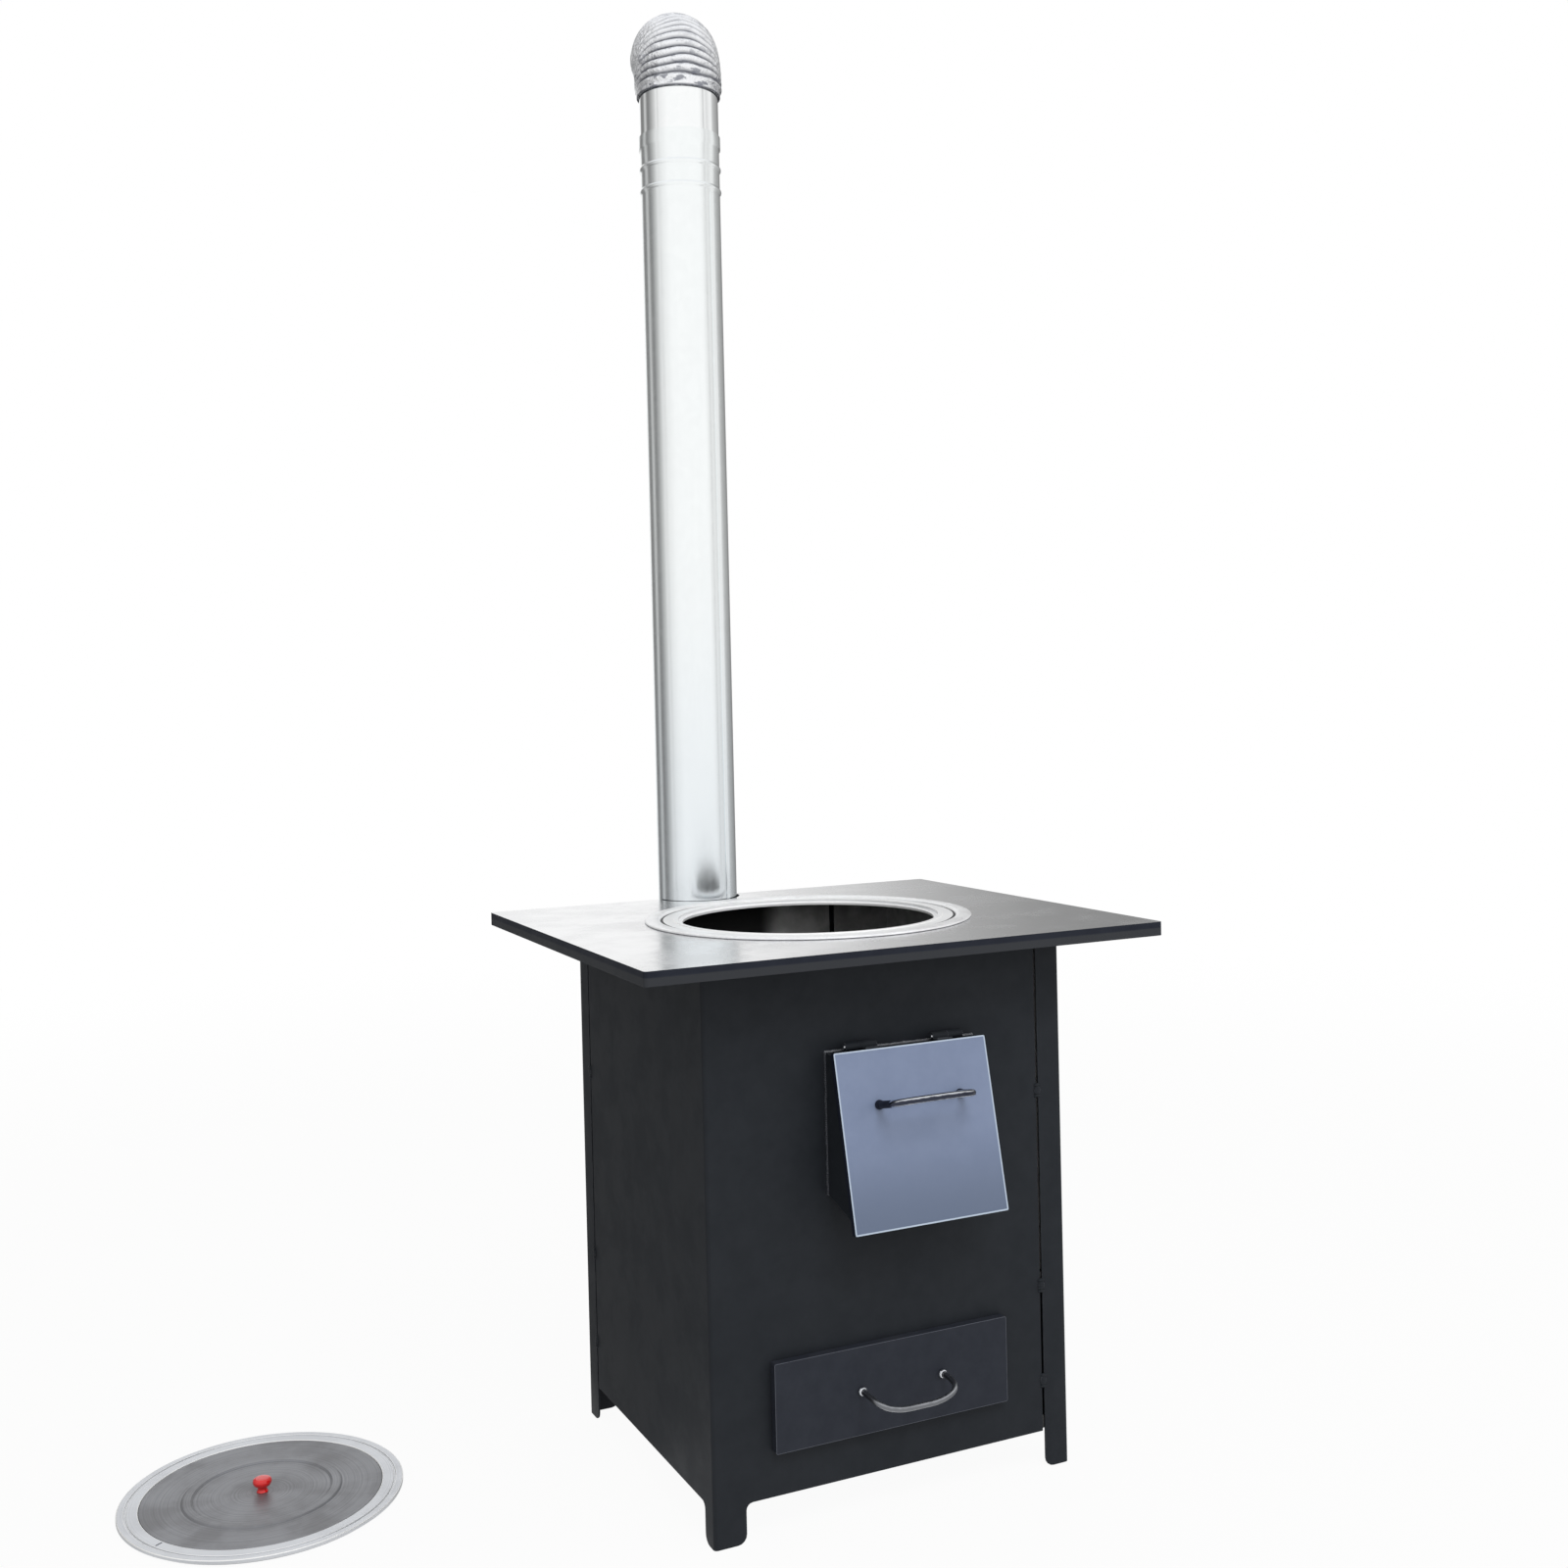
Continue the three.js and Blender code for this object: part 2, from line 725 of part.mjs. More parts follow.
function flueCollar() {
  const plateStart = halfDepth + seatGap;
  const plateEnd = plateStart + collarSheet;
  const plate = prismY(
    rectangle(flueX, flueHeight, collarWidth, collarWidth, collarRadius),
    plateStart,
    plateEnd,
  );
  const stubStart = linerHalfDepth - linerSheet - collarInnerReach;
  const stubEnd = plateEnd + collarStub;
  const stub = rodY(stubRadius, stubStart, stubEnd, pipeSides).translate(flueX, 0, flueHeight);
  const bore = rodY(stubRadius - pipeWall, 0, stubEnd + overrun, pipeSides);
  return cut(
    join(plate, stub),
    bore.translate(flueX, 0, flueHeight),
    ...collarScrewPlaces().map(([x, z]) => collarScrewHole().translate(x, 0, z)),
  );
}

// A mitred elbow from the rear wall up to the pipe, ending in a spigot that the pipe slides over.
function flueElbow() {
  const aside = new THREE.Vector3(1, 0, 0);
  const ring = (y, z, angle, stretch, radius) => ({
    centre: new THREE.Vector3(flueX, y, z),
    across: new THREE.Vector3(0, Math.sin(angle), -Math.cos(angle)).multiplyScalar(stretch),
    aside,
    radius,
  });
  const bendY = pipeY - elbowBendRadius;
  const bendZ = flueHeight + elbowBendRadius;
  const turn = Math.PI / 2 / elbowMitres;
  const stretch = 1 / Math.cos(turn / 2);
  const mitres = Array.from({ length: elbowMitres }, (_, i) => {
    const angle = turn * (i + elbowMitreShare);
    const y = bendY + elbowBendRadius * stretch * Math.sin(angle);
    const z = bendZ - elbowBendRadius * stretch * Math.cos(angle);
    return ring(y, z, angle, stretch, pipeRadius);
  });
  const start = halfDepth + collarSheet + 2 * seatGap;
  const upright = Math.PI / 2;
  const outside = [
    ring(start, flueHeight, 0, 1, pipeRadius),
    ...mitres,
    ring(pipeY, bendZ - spigotTaper / 2, upright, 1, pipeRadius),
    ring(pipeY, bendZ + spigotTaper / 2, upright, 1, stubRadius),
    ring(pipeY, bendZ + spigotLength, upright, 1, stubRadius),
  ];
  const bore = outside.map((outer) => ({ ...outer, radius: outer.radius - pipeWall }));
  return tubeWall(outside, bore, pipeSides);
}

function chimneyPipe() {
  const shoulder = pipeTop - socketLength;
  const beads = beadDrops.flatMap((drop) => [
    [0, pipeTop - drop - beadHalf],
    [beadRise, pipeTop - drop],
    [0, pipeTop - drop + beadHalf],
  ]);
  const rises = [
    [0, pipeBottom],
    ...beads,
    [0, shoulder - socketFlare],
    [socketFlare, shoulder],
    [socketFlare, pipeTop],
  ];
  const profile = [
    ...rises.map(([rise, height]) => [pipeRadius + rise, height]),
    ...rises.reverse().map(([rise, height]) => [boreRadius + rise, height]),
  ];
  const depth = pipeWall + lockSeamRise;
  const seam = rectangle(pipeRadius + lockSeamRise - depth / 2, 0, depth, lockSeamWidth, lockSeamRise);
  const seamTop = pipeTop - beadDrops[0] - 2 * beadHalf;
  const lockSeam = prismZ(seam, pipeBottom + socketLength, seamTop).rotateZ(radians(lockSeamAngle));
  const bore = rodZ(boreRadius, pipeBottom, seamTop, pipeSides);
  return join(turned(profile, pipeSides), cut(lockSeam, bore));
}

function cowlNeck() {
  const bottom = pipeTop - socketLength + 2 * seatGap;
  const profile = [
    [boreRadius, bottom],
    [pipeRadius, bottom],
    [pipeRadius, neckTop],
    [boreRadius, neckTop],
  ];
  return turned(profile, pipeSides);
}

// A ribbed hose that rises from its cuff and bends over: a rib is a valley ring and a crest ring.
function cowlHose() {
  const upwards = new THREE.Vector3(0, 0, 1);
  const heading = new THREE.Vector3(0, 1, 0).applyAxisAngle(upwards, radians(hoseHeading));
  const aside = upwards.clone().cross(heading);
  const bendZ = hoseBottom + hoseCuff;
  const ring = (angle, rise, radius) => {
    const forward = hoseBendRadius * (1 - Math.cos(angle));
    const up = bendZ + rise + hoseBendRadius * Math.sin(angle);
    const centre = heading.clone().multiplyScalar(forward).setZ(up);
    const across = heading.clone().multiplyScalar(-Math.cos(angle)).setZ(Math.sin(angle));
    return { centre, across, aside, radius };
  };
  const turn = radians(hoseBendAngle) / hoseRibs;
  const ribs = Array.from({ length: hoseRibs }, (_, i) => [
    ring(turn * (i + hoseValleyShare), 0, hoseValleyRadius),
    ring(turn * (i + hoseCrestShare), 0, hoseCrestRadius),
  ]);
  const outside = [
    ring(0, -hoseCuff, hoseCuffRadius),
    ring(0, 0, hoseCuffRadius),
    ...ribs.flat(),
    ring(turn * hoseRibs, 0, hoseValleyRadius),
  ];
  const boreTurn = radians(hoseBendAngle) / hoseBoreSteps;
  const bore = Array.from({ length: hoseBoreSteps + 1 }, (_, i) => ring(boreTurn * i, 0, hoseBoreRadius));
  return tubeWall(outside, [ring(0, -hoseCuff, hoseBoreRadius), ...bore], hoseSides);
}

// Feeder

// Where the hood's sloping mouth lies at a height, measured along Y
function mouthY(z) {
  const tilt = radians(doorTilt);
  const reach = doorSetBack - doorMouthGap;
  return hingeY + ((z - hingeZ) * Math.sin(tilt) - reach) / Math.cos(tilt);
}

function feederHood() {
  const lip = feederBottom - feederLipDrop;
  const wall = -halfDepth - seatGap;
  const slope = feederLipDrop / (wall - mouthY(lip));
  const outside = outline([
    [wall, feederTop],
    [mouthY(feederTop), feederTop],
    [mouthY(lip), lip],
    [wall, feederBottom],
  ]);
  const past = mouthY(lip) - overrun;
  const inside = outline([
    [wall + overrun, feederTop - feederSheet],
    [past, feederTop - feederSheet],
    [past, lip + feederSheet - slope * overrun],
    [wall, feederBottom + feederSheet],
    [wall + overrun, feederBottom + feederSheet],
  ]);
  const half = feederWidth / 2;
  return cut(
    prismX(outside, feederX - half, feederX + half),
    prismX(inside, feederX - half + feederSheet, feederX + half - feederSheet),
  );
}

function feederThroat() {
  const outside = throatOutline(0);
  const inside = throatOutline(-throatSheet);
  const start = -halfDepth - throatOverlap;
  const end = -linerHalfDepth + linerSheet + throatReach;
  return cut(prismY(outside, start, end), prismY(inside, start - overrun, end + overrun));
}

function hingeTube(length) {
  const tube = rodX(hingeRadius, 0, length, hingeSides);
  return cut(tube, rodX(hingePinRadius + seatGap, -overrun, length + overrun, hingeSides));
}

// The fixed barrel lies outside, the door's knuckle inside of it.
const hingeOuterX = hingeSpread + hingeBarrelLength;
const hingeInnerX = hingeSpread - seatGap - hingeBarrelLength;

function hingeBarrel(side) {
  return hingeTube(hingeBarrelLength).translate(hingeSpread, 0, 0).rotateZ(side > 0 ? 0 : Math.PI);
}

function hingePin(side) {
  const end = hingeOuterX + seatGap;
  const start = hingeInnerX - seatGap;
  const pin = join(
    rodX(hingePinRadius, start - hingePinHeadLength, end + hingePinHeadLength, hingeSides),
    rodX(hingePinHead, end, end + hingePinHeadLength, hingeSides),
    rodX(hingePinHead, start - hingePinHeadLength, start, hingeSides),
  );
  return pin.rotateZ(side > 0 ? 0 : Math.PI);
}

// A knuckle with its leaf, welded on the door's top edge; drawn in the door's own frame.
function hingeLeafWithKnuckle(side) {
  const low = -doorDrop + seatGap;
  const leaf = outline([
    [-doorSetBack + slideGap, low],
    [-hingePinRadius - slideGap, low],
    [-hingePinRadius - slideGap, low + hingeLeaf],
    [-doorSetBack + slideGap, low + hingeLeaf],
  ]);
  const bore = rodX(hingePinRadius + seatGap, hingeInnerX - overrun, hingeSpread + overrun, hingeSides);
  const knuckle = join(
    rodX(hingeRadius, hingeInnerX, hingeSpread - seatGap, hingeSides),
    prismX(leaf, hingeInnerX, hingeSpread - seatGap),
  );
  const drilled = cut(knuckle, bore);
  return side > 0 ? drilled : drilled.translate(-hingeInnerX - hingeSpread + seatGap, 0, 0);
}

// The door is a shallow pan in its own frame: hinge axis along X, outside face towards -Y.
function feederDoor() {
  const skin = pan(doorWidth, doorLength, doorEdge, doorSheet, doorSheet + seatGap);
  const holeZ = doorLength / 2 - feederHandleDrop;
  const holes = handleFeet(feederHandleShift).map((x) =>
    rodZ(screwHoleRadius, -overrun, overrun, screwSides).translate(x, -holeZ, 0),
  );
  return cut(skin, ...holes)
    .rotateX(-Math.PI / 2)
    .translate(0, -doorSetBack, -doorDrop - doorLength / 2);
}

// Handles and screws

function handleFeet(shift) {
  return [shift - handleSpacing / 2, shift + handleSpacing / 2];
}

// A bent rod that stands out towards -Y on two round feet, each with a blind hole for its screw.
function handle(rod, reach, bow) {
  const points = handleSpanShares.map((share, i) => {
    const out = handleFootLength / 2 + (reach - handleFootLength / 2) * handleReachShares[i];
    return new THREE.Vector3(share * handleSpacing, -out, bow * handleBowShares[i]);
  });
  const section = new THREE.Shape().absarc(0, 0, rod, 0, 2 * Math.PI);
  const options = {
    steps: handleSteps,
    curveSegments: handleSides / 2,
    extrudePath: new THREE.CatmullRomCurve3(points),
  };
  const bent = new THREE.ExtrudeGeometry(section, options);
  const feet = handleFeet(0).map((x) =>
    rodY(handleFootRadius, -handleFootLength, 0, screwSides).translate(x, 0, 0),
  );
  const holes = handleFeet(0).map((x) =>
    rodY(screwHoleRadius, -screwBite - seatGap, overrun, screwSides).translate(x, 0, 0),
  );
  return cut(join(bent, ...feet), ...holes);
}

// A pan-head screw along Y; its head's underside is at y = 0 and its shank runs towards -Y.
function screw(length) {
  const crown = screwHeadRadius * screwCrownShare;
  const profile = [
    [0, -length],
    [screwRadius, -length],
    [screwRadius, 0],
    [screwHeadRadius, 0],
    [screwHeadRadius, screwHeadHeight * screwEdgeShare],
    [crown, screwHeadHeight],
    [0, screwHeadHeight],
  ];
  return turned(profile, screwSides).rotateX(-Math.PI / 2);
}

// Assembly

const stove = new THREE.Group();

stove.add(
  piece("front_left_shell", frontLeftShell(), blackPaint),
  piece("rear_right_shell", rearRightShell(), blackPaint),
  piece("base_plate", basePlate(), insideSteel),
  piece("drawer_runner_left", drawerRunner(-1), insideSteel),
  piece("drawer_runner_right", drawerRunner(1), insideSteel),
  piece("grate_shelf", grateShelf(), insideSteel),
  piece("firebox_liner", fireboxLiner(), insideSteel),
  placed(piece("grate", grate(), castIron), 0, 0, grateShelfHeight + seatGap),
);

const table = placed(new THREE.Group(), 0, 0, tableHeight);
table.add(piece("table_top", tableTop(), tableSteel));
table.add(piece("mouth_ring_outer", outerRing(), brightSteel));
stove.add(table);

// The middle ring and the lid lie taken off on the floor beside the stove.
const looseRings = placed(new THREE.Group(), looseRingsX, looseRingsY, -nestBottom);
looseRings.add(
  piece("mouth_ring_middle", middleRing(), brightSteel),
  piece("mouth_lid", mouthLid(), brightSteel),
  piece("lid_knob", lidKnob(), redKnob),
);
stove.add(looseRings);

stove.add(
  piece("flue_collar", flueCollar(), galvanised),
  piece("flue_elbow", flueElbow(), galvanised),
);
collarScrewPlaces().forEach(([x, z], i) => {
  const length = collarSheet + panelSheet + linerInset / 2;
  const collarScrew = piece("flue_collar_screw_" + (i + 1), screw(length), brightSteel);
  stove.add(placed(collarScrew, x, halfDepth + collarSheet + 2 * seatGap, z));
});

const chimney = placed(new THREE.Group(), flueX, pipeY, 0);
chimney.add(
  piece("chimney_pipe", chimneyPipe(), galvanised),
  piece("cowl_neck", cowlNeck(), galvanised),
  piece("cowl_hose", cowlHose(), aluminium),
);
stove.add(chimney);

stove.add(
  piece("feeder_hood", feederHood(), blackPaint),
  piece("feeder_throat", feederThroat(), insideSteel),
);

const hinge = placed(new THREE.Group(), feederX, hingeY, hingeZ);
const door = new THREE.Group();
door.rotation.x = -radians(doorTilt);
for (const [side, name] of [[-1, "left"], [1, "right"]]) {
  hinge.add(piece("hinge_barrel_" + name, hingeBarrel(side), blackPaint));
  hinge.add(piece("hinge_pin_" + name, hingePin(side), brightSteel));
  door.add(piece("hinge_leaf_" + name, hingeLeafWithKnuckle(side), blackPaint));
}
door.add(piece("feeder_door", feederDoor(), bluePaint));

const feederHandle = handle(feederHandleRod, feederHandleReach, feederHandleArch);
const feederHandleZ = -doorDrop - feederHandleDrop;
const feederHandlePiece = piece("feeder_handle", feederHandle, brightSteel);
door.add(placed(feederHandlePiece, feederHandleShift, -doorSetBack - seatGap, feederHandleZ));
handleFeet(feederHandleShift).forEach((x, i) => {
  const length = doorSheet + 2 * seatGap + screwBite - slideGap;
  const doorScrew = piece("feeder_handle_screw_" + ["left", "right"][i], screw(length), brightSteel);
  door.add(placed(doorScrew, x, -doorSetBack + doorSheet + seatGap, feederHandleZ));
});
hinge.add(door);
stove.add(hinge);

const drawer = placed(new THREE.Group(), drawerX, -halfDepth - drawerFrontDepth, drawerCentreHeight);
drawer.add(piece("drawer_front", drawerFront(), blackPaint));
const drawerHandle = handle(drawerHandleRod, drawerHandleReach, -drawerHandleSag);
const drawerHandlePiece = piece("drawer_handle", drawerHandle, brightSteel);
drawer.add(placed(drawerHandlePiece, drawerHandleShift, -seatGap, 0));
handleFeet(drawerHandleShift).forEach((x, i) => {
  const length = 2 * drawerSheet + 3 * seatGap + screwBite - slideGap;
  const drawerScrew = piece("drawer_handle_screw_" + ["left", "right"][i], screw(length), brightSteel);
  drawer.add(placed(drawerScrew, x, 2 * (drawerSheet + seatGap), 0));
});
stove.add(drawer);
const tray = piece("drawer_tray", drawerTray(), insideSteel);
stove.add(placed(tray, drawerX, trayFrontY + trayLength / 2, trayBottom));

// The part's origin is the middle of its footprint, on the floor.
const group = new THREE.Group();
stove.updateMatrixWorld(true);
const box = new THREE.Box3().setFromObject(stove, true);
const middle = box.getCenter(new THREE.Vector3());
stove.position.set(-middle.x, -middle.y, 0);
group.add(stove);

export default group;
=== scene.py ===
# Camping wood stove: black sheet-steel body on folded legs, a cooking table with a nest of rings,
# a sloping feeder hood with its door, an ash drawer and a galvanised chimney with a corrugated cowl.
# Lengths are metres, +Z is up and the doors face -Y.
import math
import bmesh
import bpy
from mathutils import Matrix, Vector, noise


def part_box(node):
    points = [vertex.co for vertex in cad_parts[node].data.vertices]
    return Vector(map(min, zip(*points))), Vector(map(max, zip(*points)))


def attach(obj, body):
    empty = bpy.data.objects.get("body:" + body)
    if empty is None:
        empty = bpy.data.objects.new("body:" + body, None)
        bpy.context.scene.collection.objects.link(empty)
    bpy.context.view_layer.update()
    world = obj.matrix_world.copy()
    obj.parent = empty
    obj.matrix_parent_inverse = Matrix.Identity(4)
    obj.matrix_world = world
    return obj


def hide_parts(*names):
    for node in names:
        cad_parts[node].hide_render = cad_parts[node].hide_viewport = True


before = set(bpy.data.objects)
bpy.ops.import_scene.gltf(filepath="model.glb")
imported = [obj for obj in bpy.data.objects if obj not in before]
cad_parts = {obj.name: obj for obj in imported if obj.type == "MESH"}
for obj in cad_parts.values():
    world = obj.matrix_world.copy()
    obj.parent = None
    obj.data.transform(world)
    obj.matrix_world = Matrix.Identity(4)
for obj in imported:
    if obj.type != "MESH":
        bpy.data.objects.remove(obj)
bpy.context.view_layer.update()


def middleOf(node):
    low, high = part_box(node)
    return (low + high) / 2


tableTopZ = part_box("table_top")[1].z
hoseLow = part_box("cowl_hose")[0]
doorLow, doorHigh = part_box("feeder_door")


# Helpers for shader nodes

# Links a node's output to a socket, or sets the socket to a number, a vector or a colour.
def feed(tree, socket, value):
    if isinstance(value, bpy.types.NodeSocket):
        tree.links.new(value, socket)
    elif socket.type == "RGBA":
        socket.default_value = (*value, 1.0)
    else:
        socket.default_value = value


# A shader node of a kind, which is its type without the word ShaderNode.
def addNode(tree, kind, inputs=None, **settings):
    node = tree.nodes.new("ShaderNode" + kind)
    for name, value in settings.items():
        setattr(node, name, value)
    for name, value in (inputs or {}).items():
        feed(tree, node.inputs[name], value)
    return node


def calc(tree, operation, *values):
    return addNode(tree, "Math", dict(enumerate(values)), operation=operation).outputs[0]


def times(tree, first, second):
    return calc(tree, "MULTIPLY", first, second)


def plus(tree, first, second):
    return calc(tree, "ADD", first, second)


def vectorCalc(tree, operation, *values):
    node = addNode(tree, "VectorMath", dict(enumerate(values)), operation=operation)
    return node.outputs["Value" if operation == "LENGTH" else "Vector"]


def remap(tree, value, fromLow, fromHigh, toLow=0.0, toHigh=1.0):
    inputs = {"Value": value, "From Min": fromLow, "From Max": fromHigh}
    inputs.update({"To Min": toLow, "To Max": toHigh})
    return addNode(tree, "MapRange", inputs, interpolation_type="SMOOTHSTEP").outputs[0]


# A colour with further colours laid over it, each by its own mask.
def layered(tree, base, *layers):
    for mask, over in layers:
        base = addNode(tree, "Mix", {0: mask, 6: base, 7: over}, data_type="RGBA").outputs[2]
    return base


def place(tree):
    return addNode(tree, "TexCoord").outputs["Object"]


def partOf(tree, vector, axis):
    return addNode(tree, "SeparateXYZ", {0: vector}).outputs[axis]


def upwards(tree):
    return partOf(tree, addNode(tree, "NewGeometry").outputs["Normal"], 2)


def cloud(tree, at, scale, detail=2.0, roughness=0.5):
    inputs = {"Vector": at, "Scale": scale, "Detail": detail, "Roughness": roughness}
    return addNode(tree, "TexNoise", inputs).outputs[0]


def cells(tree, at, scale, **settings):
    return addNode(tree, "TexVoronoi", {"Vector": at, "Scale": scale}, **settings).outputs


def attribute(tree, name):
    return addNode(tree, "Attribute", attribute_name=name).outputs["Fac"]


def newGroup(name, **inputs):
    group = bpy.data.node_groups.new(name, "ShaderNodeTree")
    for title, value in inputs.items():
        kind = "NodeSocketVector" if isinstance(value, tuple) else "NodeSocketFloat"
        group.interface.new_socket(title, in_out="INPUT", socket_type=kind).default_value = value
    return group, group.nodes.new("NodeGroupInput").outputs


def putOut(group, kind="NodeSocketFloat", **values):
    for title in values:
        group.interface.new_socket(title, in_out="OUTPUT", socket_type=kind)
    result = group.nodes.new("NodeGroupOutput").inputs
    for title, value in values.items():
        group.links.new(value, result[title])
    return group


def useGroup(tree, group, **inputs):
    return addNode(tree, "Group", inputs, node_tree=group).outputs


# Rolled sheet: slow waves from bending and welding, a fine skin on top, and smudges in the gloss.
def makeSheetSkin():
    group, given = newGroup("sheetSkin", waveHeight=0.0003, grainHeight=0.000004, grainScale=900.0)
    at = place(group)
    high = times(group, cloud(group, at, 4.5, 1.0), given["waveHeight"])
    fine = times(group, cloud(group, at, given["grainScale"]), given["grainHeight"])
    smudge = remap(group, cloud(group, at, 14.0, 6.0, 0.62), 0.35, 0.68)
    tone = remap(group, cloud(group, at, 42.0, 5.0, 0.6), 0.3, 0.7)
    return putOut(group, height=plus(group, high, fine), smudge=smudge, tone=tone)


# Bare metal along bevelled edges, broken up by noise; on the door's and the drawer's outlines it is a painted
# edge highlight. The bevel's faces carry the attribute.
def makeEdgeWearAndHighlight():
    group, given = newGroup("edgeWearAndHighlight", amount=0.5, scale=60.0)
    patches = cloud(group, place(group), given["scale"], 6.0, 0.7)
    limit = calc(group, "SUBTRACT", 1.0, given["amount"])
    soft = 0.12
    wearAndHighlightEdge = remap(group, patches, calc(group, "SUBTRACT", limit, soft), plus(group, limit, soft))
    return putOut(group, mask=times(group, attribute(group, "bevelFace"), wearAndHighlightEdge))


# Dust that settles on faces which look up, in uneven drifts.
def makeDust():
    group, given = newGroup("settledDust", amount=0.3, scale=18.0)
    drift = cloud(group, place(group), given["scale"], 8.0, 0.65)
    level = times(group, remap(group, upwards(group), 0.3, 0.95), remap(group, drift, 0.38, 0.72))
    return putOut(group, mask=times(group, level, given["amount"]))


# Zinc flowers: cells a few millimetres across, each with its own tone and finer ferns in it.
def makeSpangle():
    group, given = newGroup("zincSpangle", scale=110.0)
    at = place(group)
    bend = addNode(group, "TexNoise", {"Vector": at, "Scale": 60.0, "Detail": 2.0}).outputs["Color"]
    bent = layered(group, at, (0.012, bend))
    flowers = cells(group, bent, given["scale"])
    ferns = cells(group, bent, times(group, given["scale"], 3.1))
    tone = addNode(group, "SeparateColor", {0: flowers["Color"]}).outputs[0]
    finer = addNode(group, "SeparateColor", {0: ferns["Color"]}).outputs[1]
    return putOut(group, tone=plus(group, times(group, tone, 0.7), times(group, finer, 0.3)))


# Brushing along one axis: noise drawn out by a Mapping node.
def makeBrushed():
    group, given = newGroup("brushedLines", stretch=(8.0, 900.0, 900.0))
    inputs = {"Vector": place(group), "Scale": given["stretch"]}
    lines = cloud(group, addNode(group, "Mapping", inputs).outputs[0], 1.0, 5.0, 0.7)
    return putOut(group, tone=remap(group, lines, 0.3, 0.7), height=lines)


# Turning marks round a vertical axis through a given centre, and the distance from it.
def makeTurned():
    group, given = newGroup("turningMarks", centre=(0.0, 0.0, 0.0), scale=900.0)
    at = place(group)
    away = vectorCalc(group, "SUBTRACT", at, given["centre"])
    distance = vectorCalc(group, "LENGTH", vectorCalc(group, "MULTIPLY", away, (1.0, 1.0, 0.0)))
    reach = {"W": times(group, distance, given["scale"]), "Scale": 1.0, "Detail": 4.0}
    rings = addNode(group, "TexNoise", reach, noise_dimensions="1D").outputs[0]
    patches = remap(group, cloud(group, at, 35.0, 5.0), 0.2, 0.8, 0.6, 1.0)
    tone = times(group, remap(group, rings, 0.25, 0.75), patches)
    return putOut(group, tone=tone, height=rings, distance=distance)


# Painted reflection on a bar: its top and underside stay light and its front is painted dark, as a shiny rod
# reflects the dark floor there.
def makePaintedReflectionBand():
    group, given = newGroup("paintedReflectionBand", amount=1.0)
    patches = remap(group, cloud(group, place(group), 160.0, 5.0, 0.6), 0.3, 0.7, -0.08, 0.08)
    side = plus(group, upwards(group), patches)
    bright = calc(group, "MAXIMUM", remap(group, side, 0.35, 0.7), remap(group, side, -0.4, -0.75))
    return putOut(group, mask=times(group, calc(group, "SUBTRACT", 1.0, bright), given["amount"]))


sheetSkin = makeSheetSkin()
edgeWearAndHighlight = makeEdgeWearAndHighlight()
settledDust = makeDust()
zincSpangle = makeSpangle()
brushedLines = makeBrushed()
turningMarks = makeTurned()
paintedReflectionBand = makePaintedReflectionBand()
print("surface groups made")


# Materials

def newMaterial(name, **sockets):
    material = bpy.data.materials.new(name)
    material.use_nodes = True
    shader = material.node_tree.nodes["Principled BSDF"]
    for title, value in sockets.items():
        shader.inputs[title.replace("_", " ")].default_value = value
    return material, material.node_tree


def connect(material, base, roughness, height, metallic=0.0):
    tree = material.node_tree
    bump = addNode(tree, "Bump", {"Height": height, "Strength": 1.0, "Distance": 1.0}).outputs[0]
    inputs = {"Base Color": base, "Roughness": roughness, "Metallic": metallic, "Normal": bump}
    for title, value in inputs.items():
        feed(tree, tree.nodes["Principled BSDF"].inputs[title], value)
    return material


def skinOf(tree, waves, grain, scale=900.0):
    return useGroup(tree, sheetSkin, waveHeight=waves, grainHeight=grain, grainScale=scale)


# Roughness of one finish: its least value, and how much smudges add.
def smudged(tree, skin, look, spread):
    return remap(tree, skin["smudge"], 0.0, 1.0, look["rough"], look["rough"] + spread)


dustLook = dict(colour=(0.24, 0.23, 0.21), rough=0.4)


def paintMaterial(name, look):
    material, tree = newMaterial(name, Specular_IOR_Level=look["gloss"])
    skin = skinOf(tree, look["waves"], look["grain"])
    # The edge mask is wear on most paints, and a painted edge highlight on the door and the drawer front.
    wearAndHighlightEdge = useGroup(tree, edgeWearAndHighlight, amount=look["wearAndHighlight"], scale=70.0)["mask"]
    dust = useGroup(tree, settledDust, amount=look["dust"])["mask"]
    layers = [(skin["tone"], look["light"]), (dust, dustLook["colour"]), (wearAndHighlightEdge, look["edge"])]
    # Painted shading by height: the door's lower part is painted darker as painted shade, and the table
    # edge's top strip is left dark as the painted shadow of its fold.
    if "shadingFadeColour" in look:
        lower = remap(tree, partOf(tree, place(tree), 2), look["shadingFadeFrom"], look["shadingFadeTo"], 1.0, 0.0)
        layers.insert(1, (lower, look["shadingFadeColour"]))
    base = layered(tree, look["dark"], *layers)
    rough = plus(tree, smudged(tree, skin, look, look["smudge"]), times(tree, dust, dustLook["rough"]))
    return connect(material, base, rough, skin["height"], times(tree, wearAndHighlightEdge, look["edgeMetal"]))


blackLook = dict(
    dark=(0.0142, 0.0168, 0.0214), light=(0.0172, 0.02, 0.0252), edge=(0.1, 0.105, 0.12),
    rough=0.55, smudge=0.08, gloss=0.17, waves=0.00015, grain=0.000005, wearAndHighlight=0.5,
    dust=0.04, edgeMetal=0.3,
)
# The drawer front's light edge colour draws a painted highlight round it, broken up like wear.
drawerLook = dict(
    blackLook, dark=(0.0205, 0.0235, 0.033), light=(0.025, 0.0285, 0.039), edge=(0.1, 0.107, 0.13), wearAndHighlight=0.66,
)
